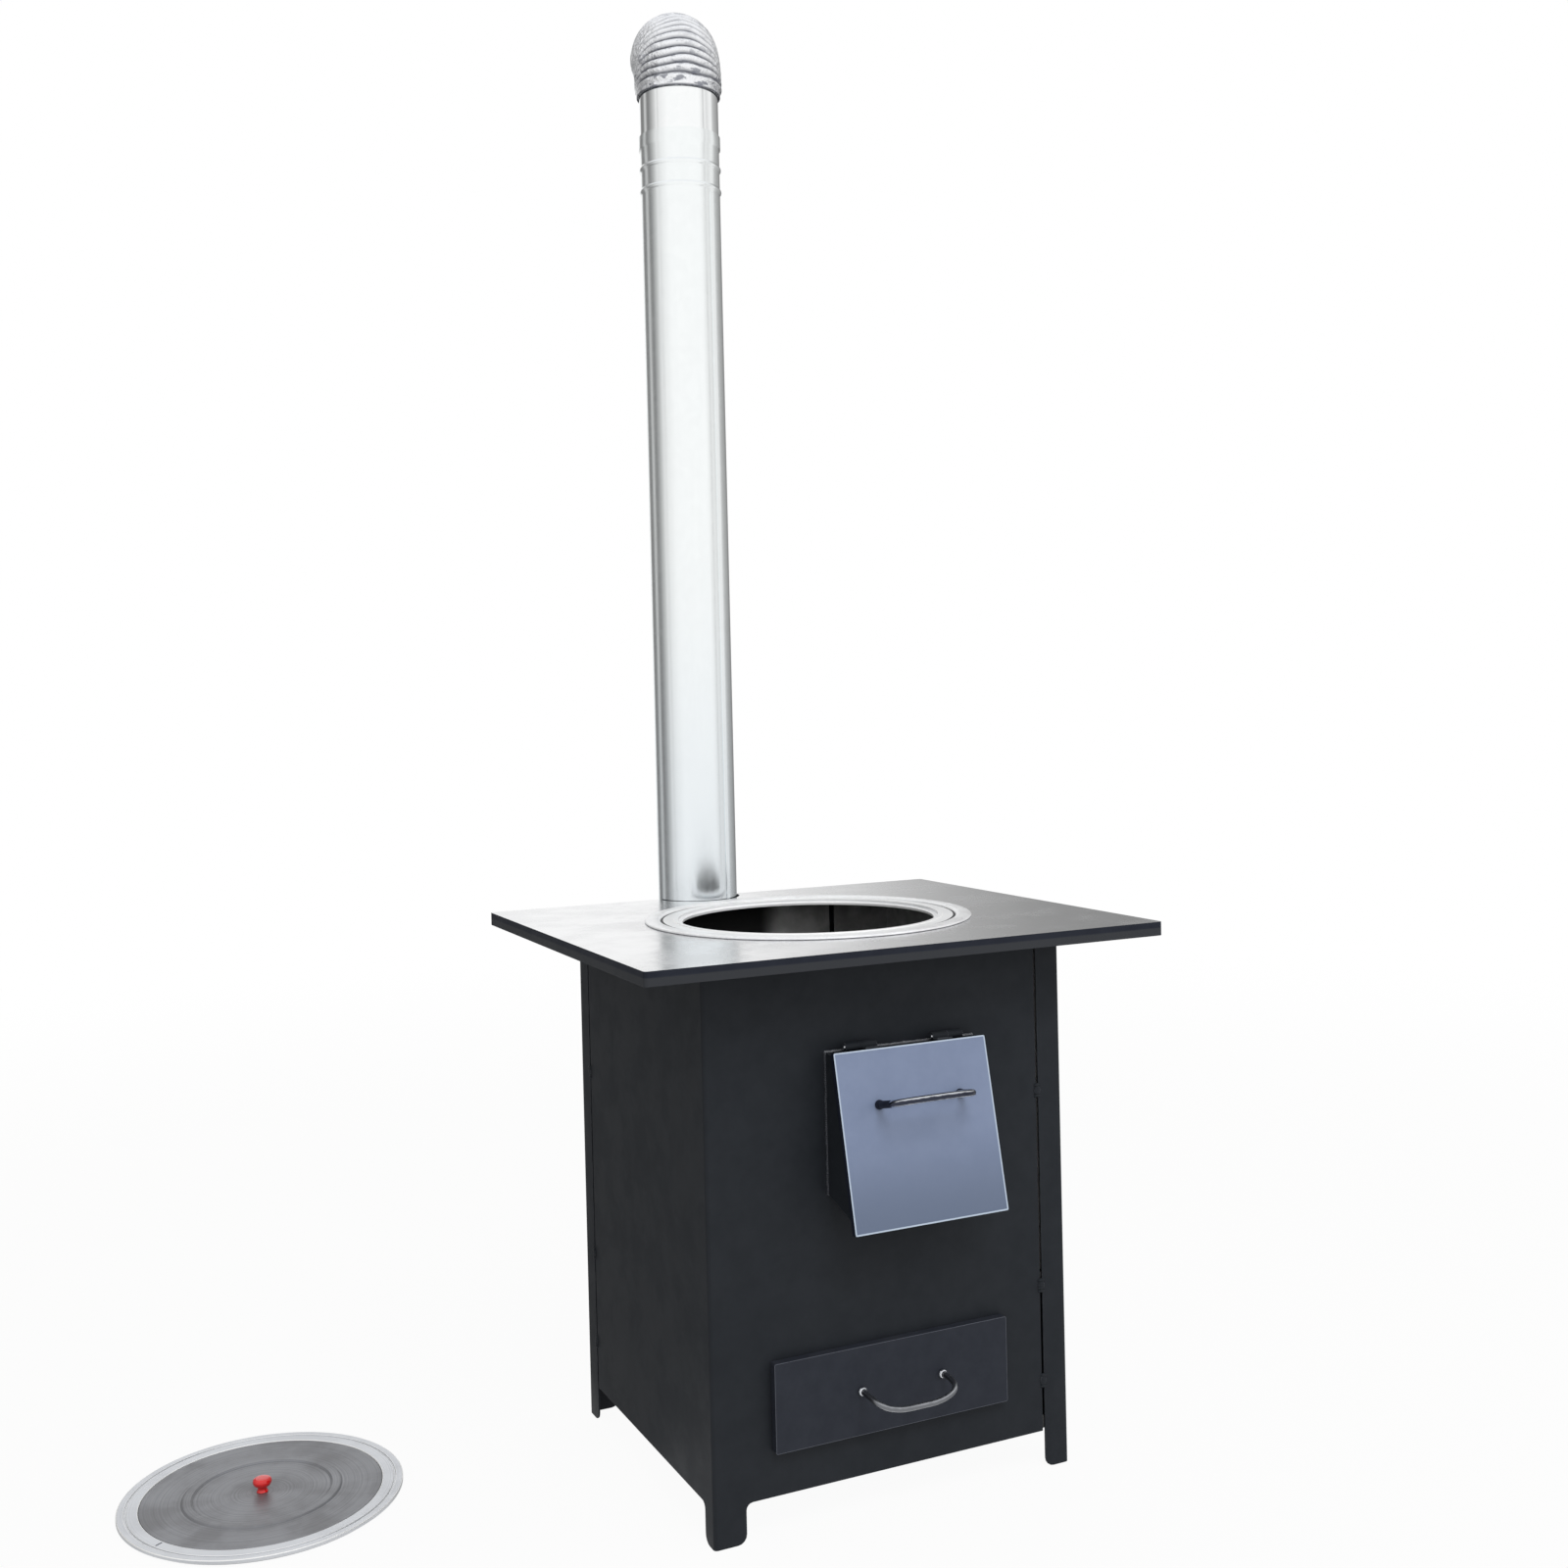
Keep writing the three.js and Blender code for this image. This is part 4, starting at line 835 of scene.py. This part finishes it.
def makeRing(ring, name, body, materials, node):
    bm = spunBody(ring, ring["profile"])
    layer = bm.faces.layers.float.new("bevelFace")
    grooveStart, grooveEnd = ring["groove"]
    for face in bm.faces:
        reach = face.calc_center_median().xy.length
        face.material_index = 1 if reach > ring["flatEnd"] else 0
        # The groove's faces get the third finish, its painted shade.
        if grooveStart < reach < grooveEnd and face.normal.z > -0.5:
            face.material_index = 2
        face[layer] = 1.0 if reach < ring["lipEnd"] and face.calc_area() < ring["lipFace"] else 0.0
    for vert in bm.verts:
        if vert.co.xy.length > ring["flatEnd"] and vert.co.z > 0.0015:
            vert.co.z -= ring["hammered"] * abs(noise.noise(vert.co * 60))
    spot = shift(middleOf(node).x, middleOf(node).y, ring["seat"])
    piece = finished(moved(bm, spot), name, body, materials, node)
    start, end = ring["slot"]
    at = spot @ turned(ring["slotAngle"], "Z") @ shift((start + end) / 2, 0, 0)
    cutWith(piece, cutter((end - start, ring["slotWidth"], 0.03), at))


outerFinishes = [outerRingSteel, rimSteel, grooveShade]
makeRing(outerRing, "outer_ring_turned", "outer_ring", outerFinishes, "mouth_ring_outer")
makeRing(middleRing, "middle_ring_turned", "middle_ring", [looseRingSteel], "mouth_ring_middle")

lid = dict(
    profile=[(0.0033, -0.0035), (0.121, -0.0035), (0.121, -0.0012), (0.126, -0.0012), (0.126, 0.0018),
             (0.1257, 0.002), (0.084, 0.002), (0.0818, 0.0034), (0.0735, 0.0034), (0.0714, 0.002),
             (0.0033, 0.002)],
    rounding=0.0004, steps=128,
)
knob = dict(
    profile=[(0.0, -0.0035), (0.003, -0.0035), (0.003, 0.0023), (0.0062, 0.0023), (0.0058, 0.0032),
             (0.0049, 0.0052), (0.0053, 0.0078), (0.0088, 0.0098), (0.0099, 0.0122), (0.01, 0.0138),
             (0.0093, 0.0158), (0.0072, 0.0169), (0.004, 0.0173), (0.0, 0.0173)],
    rounding=0.0003, steps=40,
)


def makeLid():
    centre = middleOf("mouth_lid")
    spot = shift(centre.x, centre.y, middleRing["seat"])
    plate = spunBody(lid, lid["profile"])
    finished(moved(plate, spot), "lid_pressed", "centre_lid", [lidSteel], "mouth_lid")
    button = spunBody(knob, knob["profile"])
    finished(moved(button, spot), "lid_knob_turned", "centre_lid", [redEnamel], "lid_knob")


makeLid()
print("table and rings made")

# Chimney

pipeMiddle = middleOf("cowl_neck")
pipe = dict(
    radius=0.05, wall=0.001, beadDrops=(0.069, 0.041), beadRise=0.0018, beadHalf=0.004,
    socket=0.015, flare=0.0016, rounding=0, steps=96, seamAngle=-62, seamWidth=0.006, seamRise=0.0009,
    seamEdge=0.0004, seamEndDrop=0.077, seamStart=0.015,
)


def makePipe():
    radius, wall = pipe["radius"], pipe["wall"]
    low, top = (corner.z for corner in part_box("chimney_pipe"))
    rise = [(0, low)]
    for drop in pipe["beadDrops"]:
        for i in range(9):
            share = i / 8
            swell = pipe["beadRise"] * math.sin(math.pi * share) ** 1.5
            rise.append((swell, top - drop + pipe["beadHalf"] * (2 * share - 1)))
    rise += [(0, top - pipe["socket"] - 0.002), (pipe["flare"], top - pipe["socket"]), (pipe["flare"], top)]
    outside = [(radius + out, z) for out, z in rise]
    inside = [(radius - wall + out, z) for out, z in reversed(rise)]
    bm = spunBody(pipe, outside + inside)
    moved(bm, shift(pipeMiddle.x, pipeMiddle.y, 0))
    finished(bm, "pipe_rolled", "stove", [galvanised], "chimney_pipe", sharp=50)
    seam = bmesh.new()
    start, end = low + pipe["seamStart"], top - pipe["seamEndDrop"]
    at = shift(pipeMiddle.x, pipeMiddle.y, (start + end) / 2) @ turned(pipe["seamAngle"], "Z")
    depth = pipe["seamRise"] + wall
    out = shift(radius + pipe["seamRise"] - depth / 2, 0, 0)
    size = Matrix.Diagonal((depth, pipe["seamWidth"], end - start, 1))
    bmesh.ops.create_cube(seam, size=1.0, matrix=at @ out @ size)
    softenEdges(seam, pipe["seamEdge"], segments=3)
    finished(seam, "pipe_lock_seam", "stove", [galvanised])


makePipe()

neck = dict(radius=0.05, wall=0.001, rounding=0.0003, steps=96)


def makeNeck():
    low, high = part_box("cowl_neck")
    radius, wall = neck["radius"], neck["wall"]
    profile = [(radius - wall, low.z), (radius, low.z), (radius, high.z), (radius - wall, high.z)]
    bm = spunBody(neck, profile)
    moved(bm, shift(pipeMiddle.x, pipeMiddle.y, 0))
    finished(bm, "cowl_neck_rolled", "cowl", [neckZinc], "cowl_neck")


makeNeck()

# Fades, lean and waver are in ribs; the last value narrows the painted shade in each valley, and darkRim is
# how high the painted shadow under the cuff reaches.
hose = dict(
    bendRadius=0.066, angle=95.5, heading=-17, ribs=16, crest=0.0554, valley=0.0516,
    cuff=0.005, cuffRadius=0.053, darkRim=0.0028, wall=0.0008, sides=96, stepsPerRib=8,
    dent=0.0009, dentScale=38, waver=0.4, waverAlong=20, waverRound=1.4, lean=0.15,
    fadeIn=0.5, fadeOut=0.35, crestSharp=0.8, shadeSharp=2.4,
)


def makeHose():
    bendZ = hoseLow.z + hose["cuff"]
    turn = turned(hose["heading"], "Z")
    heading = turn @ Vector((0, 1, 0))
    side = turn @ Vector((1, 0, 0))
    axisPoint = Vector((pipeMiddle.x, pipeMiddle.y, bendZ)) + heading * hose["bendRadius"]
    bm = bmesh.new()
    start = shift(pipeMiddle.x, pipeMiddle.y, bendZ) @ Matrix.Scale(hose["cuffRadius"], 4)
    ring = bmesh.ops.create_circle(bm, segments=hose["sides"], radius=1.0, matrix=start)
    steps = hose["ribs"] * hose["stepsPerRib"]
    circle = ring["verts"] + bm.edges[:]
    sweep = math.radians(hose["angle"])
    bmesh.ops.spin(bm, geom=circle, cent=axisPoint, axis=-side, angle=sweep, steps=steps)
    valley = bm.verts.layers.float.new("valley")
    for vert in bm.verts:
        away = vert.co - axisPoint
        flat = away - side * away.dot(side)
        bend = math.atan2(flat.z, -flat.dot(heading))
        outward = (-heading * math.cos(bend) + Vector((0, 0, 1)) * math.sin(bend)) * hose["bendRadius"]
        centre = axisPoint + outward
        radial = (vert.co - centre).normalized()
        along = bend / sweep * hose["ribs"]
        fade = min(1.0, max(0.0, along / hose["fadeIn"]))
        fade *= min(1.0, max(0.0, (hose["ribs"] - along) / hose["fadeOut"]))
        waver = hose["waver"] * noise.noise(centre * hose["waverAlong"] + radial * hose["waverRound"])
        lean = hose["lean"] * math.sin(math.atan2(radial.dot(side), radial.dot(outward.normalized())))
        wave = 0.5 - 0.5 * math.cos(2 * math.pi * (along - lean + waver))
        ripple = wave ** hose["crestSharp"]
        ribbed = hose["valley"] + (hose["crest"] - hose["valley"]) * ripple
        radius = hose["cuffRadius"] * (1 - fade) + ribbed * fade
        radius -= hose["dent"] * max(0.0, noise.noise(vert.co * hose["dentScale"])) * fade
        # The valley attribute is painted shade, strongest deep in each valley.
        vert[valley] = (1 - ripple) ** hose["shadeSharp"] * fade
        vert.co = centre + radial * radius
    rim = [e for e in bm.edges if e.is_boundary and all(abs(v.co.z - bendZ) < 0.0006 for v in e.verts)]
    # The skirt's lowest strip carries the painted shadow under the cuff.
    for drop, rimShade in ((hose["cuff"] - hose["darkRim"], 0.0), (hose["darkRim"], 1.0)):
        skirt = bmesh.ops.extrude_edge_only(bm, edges=rim)["geom"]
        rim = [e for e in skirt if isinstance(e, bmesh.types.BMEdge) and e.is_boundary]
        for vert in (v for v in skirt if isinstance(v, bmesh.types.BMVert)):
            vert.co.z -= drop
            vert[valley] = rimShade
    bmesh.ops.recalc_face_normals(bm, faces=bm.faces)
    piece = finished(bm, "cowl_hose_ribbed", "cowl", [hoseAluminium], "cowl_hose", sharp=70)
    wall = piece.modifiers.new("wall", "SOLIDIFY")
    wall.thickness = hose["wall"]
    wall.offset = -1
    piece.modifiers.move(1, 0)


makeHose()
print("chimney made")

# Feeder door, drawer and their handles

# The last width is that of the painted highlight round the door's face.
door = dict(
    tilt=13, edge=0.0011, leafEdge=0.0004, screwSeat=-0.0125, sideShare=0.3, wearAndHighlightEdge=0.0015,
)
hingePlace = (middleOf("hinge_pin_left") + middleOf("hinge_pin_right")) / 2
doorFrame = shift(*hingePlace) @ turned(-door["tilt"], "X")


def makeDoor():
    bm = mergedCopy("feeder_door")
    softenEdges(bm, door["edge"])
    layer = bm.faces.layers.float["bevelFace"]
    outwards = doorFrame.to_3x3() @ Vector((0, -1, 0))
    highlightOutline(bm, outwards, door["wearAndHighlightEdge"])
    for face in bm.faces:
        face.material_index = 1 if face.normal.dot(outwards) < door["sideShare"] else 0
        if face.material_index == 1:
            face[layer] = 0.0
    materials = [doorSkyReflectionPaint, doorSidePaint]
    finished(bm, "feeder_door_sheet", "feeder_door", materials, "feeder_door")


makeDoor()
for side in ("left", "right"):
    softened("hinge_leaf_" + side, "feeder_door", blackPaint, door["leafEdge"])
    softened("hinge_barrel_" + side, "stove", blackPaint, door["leafEdge"])

pin = dict(radius=0.002, head=0.0034, headLength=0.0012, rounding=0.0002, steps=24)


def makePin(side):
    low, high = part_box("hinge_pin_" + side)
    half = (high.x - low.x) / 2
    shank, head, thick = pin["radius"], pin["head"], pin["headLength"]
    profile = [(0, -half), (head * 0.7, -half), (head, -half + thick), (shank, -half + thick),
               (shank, half - thick), (head, half - thick), (head * 0.7, half), (0, half)]
    bm = spunBody(pin, profile)
    moved(bm, shift(*middleOf("hinge_pin_" + side)) @ turned(90, "Y"))
    finished(bm, "hinge_rivet_" + side, "stove", [screwSteel], "hinge_pin_" + side)


for side in ("left", "right"):
    makePin(side)

# The last width is that of the painted highlight round the drawer front's outline.
drawer = dict(frontEdge=0.0007, trayEdge=0.0003, wearAndHighlightEdge=0.0005)


def makeDrawerFront():
    bm = mergedCopy("drawer_front")
    softenEdges(bm, drawer["frontEdge"])
    highlightOutline(bm, Vector((0, -1, 0)), drawer["wearAndHighlightEdge"])
    finished(bm, "drawer_front_sheet", "ash_drawer", [drawerPaint], "drawer_front")


makeDrawerFront()
softened("drawer_tray", "ash_drawer", ashSteel, drawer["trayEdge"])

# Shares of the spacing, reach and bow along a bent bar; darkEnd is how far its ends have the second finish.
handle = dict(
    span=(-0.5, -0.5, -0.465, -0.36, 0, 0.36, 0.465, 0.5, 0.5),
    reach=(0, 0.5, 0.82, 0.96, 1, 0.96, 0.82, 0.5, 0),
    bow=(0, 0.05, 0.3, 0.7, 1, 0.7, 0.3, 0.05, 0),
    spacing=0.096, foot=0.005, footLength=0.004, rounding=0.0003, steps=28,
)
feederHandle = dict(
    rod=0.004, reach=0.0374, bow=0.001, darkEnd=0.0374 * 0.72, at=(0.0025, -0.0143, -0.0615),
)
drawerHandle = dict(rod=0.003, reach=0.038, bow=-0.011, darkEnd=0.0042)


def makeHandle(settings, spot, name, body, materials, node):
    foot, radius, rod = handle["footLength"], handle["foot"], settings["rod"]
    points = []
    for span, reach, bow in zip(handle["span"], handle["reach"], handle["bow"]):
        out = foot / 2 + (settings["reach"] - foot / 2) * reach
        points.append((span * handle["spacing"], -out, bow * settings["bow"]))
    bm = rodThrough(points, rod)
    profile = [(0, 0), (radius, 0), (radius, foot * 0.45), (radius * 0.86, foot * 0.8),
               (rod * 1.12, foot), (rod * 1.02, foot * 1.5), (0, foot * 1.5)]
    for x in (-0.5, 0.5):
        collar = spunBody(handle, profile)
        joinInto(bm, moved(collar, shift(x * handle["spacing"], 0, 0) @ turned(90, "X")))
    for face in bm.faces:
        if -face.calc_center_median().y < settings["darkEnd"]:
            face.material_index = 1
    finished(moved(bm, spot), name, body, materials, node, sharp=50)


makeHandle(feederHandle, doorFrame @ shift(*feederHandle["at"]), "feeder_handle_bent",
           "feeder_door", [barSteel, doorSidePaint], "feeder_handle")
low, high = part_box("drawer_handle")
makeHandle(drawerHandle, shift((low.x + high.x) / 2, high.y, middleOf("drawer_front").z),
           "drawer_handle_bent", "ash_drawer", [drawerBarSteel, screwSteel], "drawer_handle")

screw = dict(
    shank=0.002, head=0.0044, headHeight=0.0026, rounding=0.0001, steps=24,
    slotWidth=0.001, slotDepth=0.0009,
)


# Pan-head screw: the head's underside at y = 0, the shank towards -Y, a cross cut in the head.
def makeScrew(node, body, spot=None):
    low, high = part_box(node)
    head, height, shank = screw["head"], screw["headHeight"], screw["shank"]
    length = max(high - low) - height
    if spot is None:
        spot = shift((low.x + high.x) / 2, high.y - height, (low.z + high.z) / 2)
    profile = [(0, -length), (shank * 0.8, -length), (shank, -length + 0.0005), (shank, 0), (head, 0),
               (head, height * 0.5), (head * 0.88, height * 0.8), (head * 0.55, height), (0, height)]
    bm = spunBody(screw, profile)
    turn = spot @ turned(-90, "X")
    piece = finished(moved(bm, turn), node + "_head", body, [screwSteel], node)
    top = turn @ shift(0, 0, height)
    size = (head * 1.2, screw["slotWidth"], 2 * screw["slotDepth"])
    cutWith(piece, cutter(size, top), cutter((size[1], size[0], size[2]), top))


for number in range(1, 5):
    makeScrew("flue_collar_screw_" + str(number), "stove")
for side, share in (("left", -0.5), ("right", 0.5)):
    makeScrew("drawer_handle_screw_" + side, "ash_drawer")
    x = feederHandle["at"][0] + handle["spacing"] * share
    inDoor = shift(x, door["screwSeat"], feederHandle["at"][2])
    makeScrew("feeder_handle_screw_" + side, "feeder_door", doorFrame @ inDoor)
print("doors, handles and screws made")

# Floor, lights, world and camera

studio = dict(
    floorSize=9.0, floorDrop=0.0003, floorColour=(0.62, 0.62, 0.62), floorShow=0.95,
    floorNear=1.2, floorFar=4.0, lampTarget=(0.2, 0, 0.6), worldLight=(0.6, 0.6, 0.576),
    highColour=(0.93, 0.94, 0.96), white=(1.0, 1.0, 1.0),
)
lamps = dict(
    keyLight=dict(power=52.0, size=1.8, at=(0.1, -2.3, 3.1)),
    fillLight=dict(power=21.0, size=2.4, at=(2.6, -2.0, 1.7)),
)

# Brightness of the backdrop round the horizon, in degrees from +Y towards +X, that the metal reflects
studioRing = [
    (-180, 1.0), (-125, 1.0), (-98, 0.86), (-93, 0.7), (-88, 0.84), (-80, 0.6), (-68, 0.38), (-58, 0.22),
    (-50, 0.25), (-46, 0.5), (-38, 0.58), (-34, 0.3), (-24, 0.2), (-12, 0.25), (-4, 0.9), (2, 1.0),
    (19, 1.0), (23, 0.98), (27, 0.74), (30, 0.46), (34, 0.29), (42, 0.23), (72, 0.42), (82, 0.5),
    (88, 0.62), (95, 0.92), (104, 0.86), (114, 0.74), (122, 0.9), (127, 0.62), (132, 0.88), (142, 1.0),
]


def makeBackdrop():
    group, given = newGroup("studioBackdrop", direction=(0.0, 0.0, 0.0))
    turn = calc(group, "ARCTAN2", partOf(group, given["direction"], 0), partOf(group, given["direction"], 1))
    share = calc(group, "MULTIPLY_ADD", turn, 1 / (2 * math.pi), 0.5)
    ramp = addNode(group, "ValToRGB", {0: share})
    points = ramp.color_ramp.elements
    points.remove(points[1])
    for i, (degrees, level) in enumerate(studioRing):
        point = points[0] if i == 0 else points.new((degrees + 180) / 360)
        point.position = (degrees + 180) / 360
        point.color = (level, level, level, 1.0)
    return putOut(group, "NodeSocketColor", level=ramp.outputs[0])


studioBackdrop = makeBackdrop()


def emptyTree(owner):
    owner.use_nodes = True
    owner.node_tree.nodes.clear()
    return owner.node_tree


# 1 for rays that metal or glass sends on.
def shinyRay(tree, path):
    return calc(tree, "MAXIMUM", path.outputs["Is Glossy Ray"], path.outputs["Is Transmission Ray"])


# The floor shows white to the camera and the backdrop's level to metal, and keeps a soft shadow.
def makeFloor():
    bm = bmesh.new()
    down = shift(0, 0, -studio["floorDrop"])
    bmesh.ops.create_circle(bm, cap_ends=True, segments=64, radius=studio["floorSize"] / 2, matrix=down)
    floor = linked("floor", meshOf(bm, "floor"))
    material = bpy.data.materials.new("paleFloor")
    tree = emptyTree(material)
    path = addNode(tree, "LightPath")
    shiny = shinyRay(tree, path)
    backdrop = useGroup(tree, studioBackdrop, direction=place(tree))["level"]
    shown = layered(tree, studio["white"], (shiny, backdrop))
    glow = addNode(tree, "Emission", {"Color": shown, "Strength": 1.0})
    lit = addNode(tree, "BsdfDiffuse", {"Color": studio["floorColour"]})
    away = vectorCalc(tree, "LENGTH", place(tree))
    far = remap(tree, away, studio["floorNear"], studio["floorFar"], studio["floorShow"], 1.0)
    seen = times(tree, calc(tree, "MAXIMUM", shiny, path.outputs["Is Camera Ray"]), far)
    mixed = addNode(tree, "MixShader", {0: seen, 1: lit.outputs[0], 2: glow.outputs[0]})
    addNode(tree, "OutputMaterial", {0: mixed.outputs[0]})
    floor.data.materials.append(material)


def makeLamp(name, settings):
    data = bpy.data.lights.new(name, "AREA")
    data.energy = settings["power"]
    data.shape = "DISK"
    data.size = settings["size"]
    lamp = linked(name, data)
    lamp.visible_glossy = False
    lamp.location = settings["at"]
    aim = Vector(studio["lampTarget"]) - Vector(settings["at"])
    lamp.rotation_euler = aim.to_track_quat("-Z", "Y").to_euler()


# White for the camera, the backdrop for metal and glass, and a plain level that lights the object.
def makeWorld():
    world = bpy.data.worlds.new("studio")
    bpy.context.scene.world = world
    tree = emptyTree(world)
    direction = addNode(tree, "TexCoord").outputs["Generated"]
    backdrop = useGroup(tree, studioBackdrop, direction=direction)["level"]
    high = remap(tree, partOf(tree, direction, 2), 0.5, 0.9)
    reflected = layered(tree, backdrop, (high, studio["highColour"]))
    path = addNode(tree, "LightPath")
    byCamera = path.outputs["Is Camera Ray"]
    seen = layered(tree, studio["worldLight"], (shinyRay(tree, path), reflected), (byCamera, studio["white"]))
    back = addNode(tree, "Background", {"Color": seen, "Strength": 1.0})
    addNode(tree, "OutputWorld", {0: back.outputs[0]})


view = dict(
    offset=(-0.8582, -1.7559, 0.8572), lens=39.123, yaw=25.399, pitch=0.897, roll=-1.346,
    shift=-0.0408,
)


def makeCamera():
    data = bpy.data.cameras.new("camera")
    data.sensor_width = 36
    data.lens = view["lens"]
    data.shift_y = view["shift"]
    camera = linked("camera", data)
    spot = middleOf("table_top") * Vector((1, 1, 0)) + Vector(view["offset"])
    turn = turned(-view["yaw"], "Z") @ turned(90 - view["pitch"], "X") @ turned(view["roll"], "Z")
    camera.matrix_world = shift(*spot) @ turn
    bpy.context.scene.camera = camera


makeFloor()
for name, settings in lamps.items():
    makeLamp(name, settings)
makeWorld()
makeCamera()
bpy.context.scene.view_settings.view_transform = "Standard"
print("stage set")
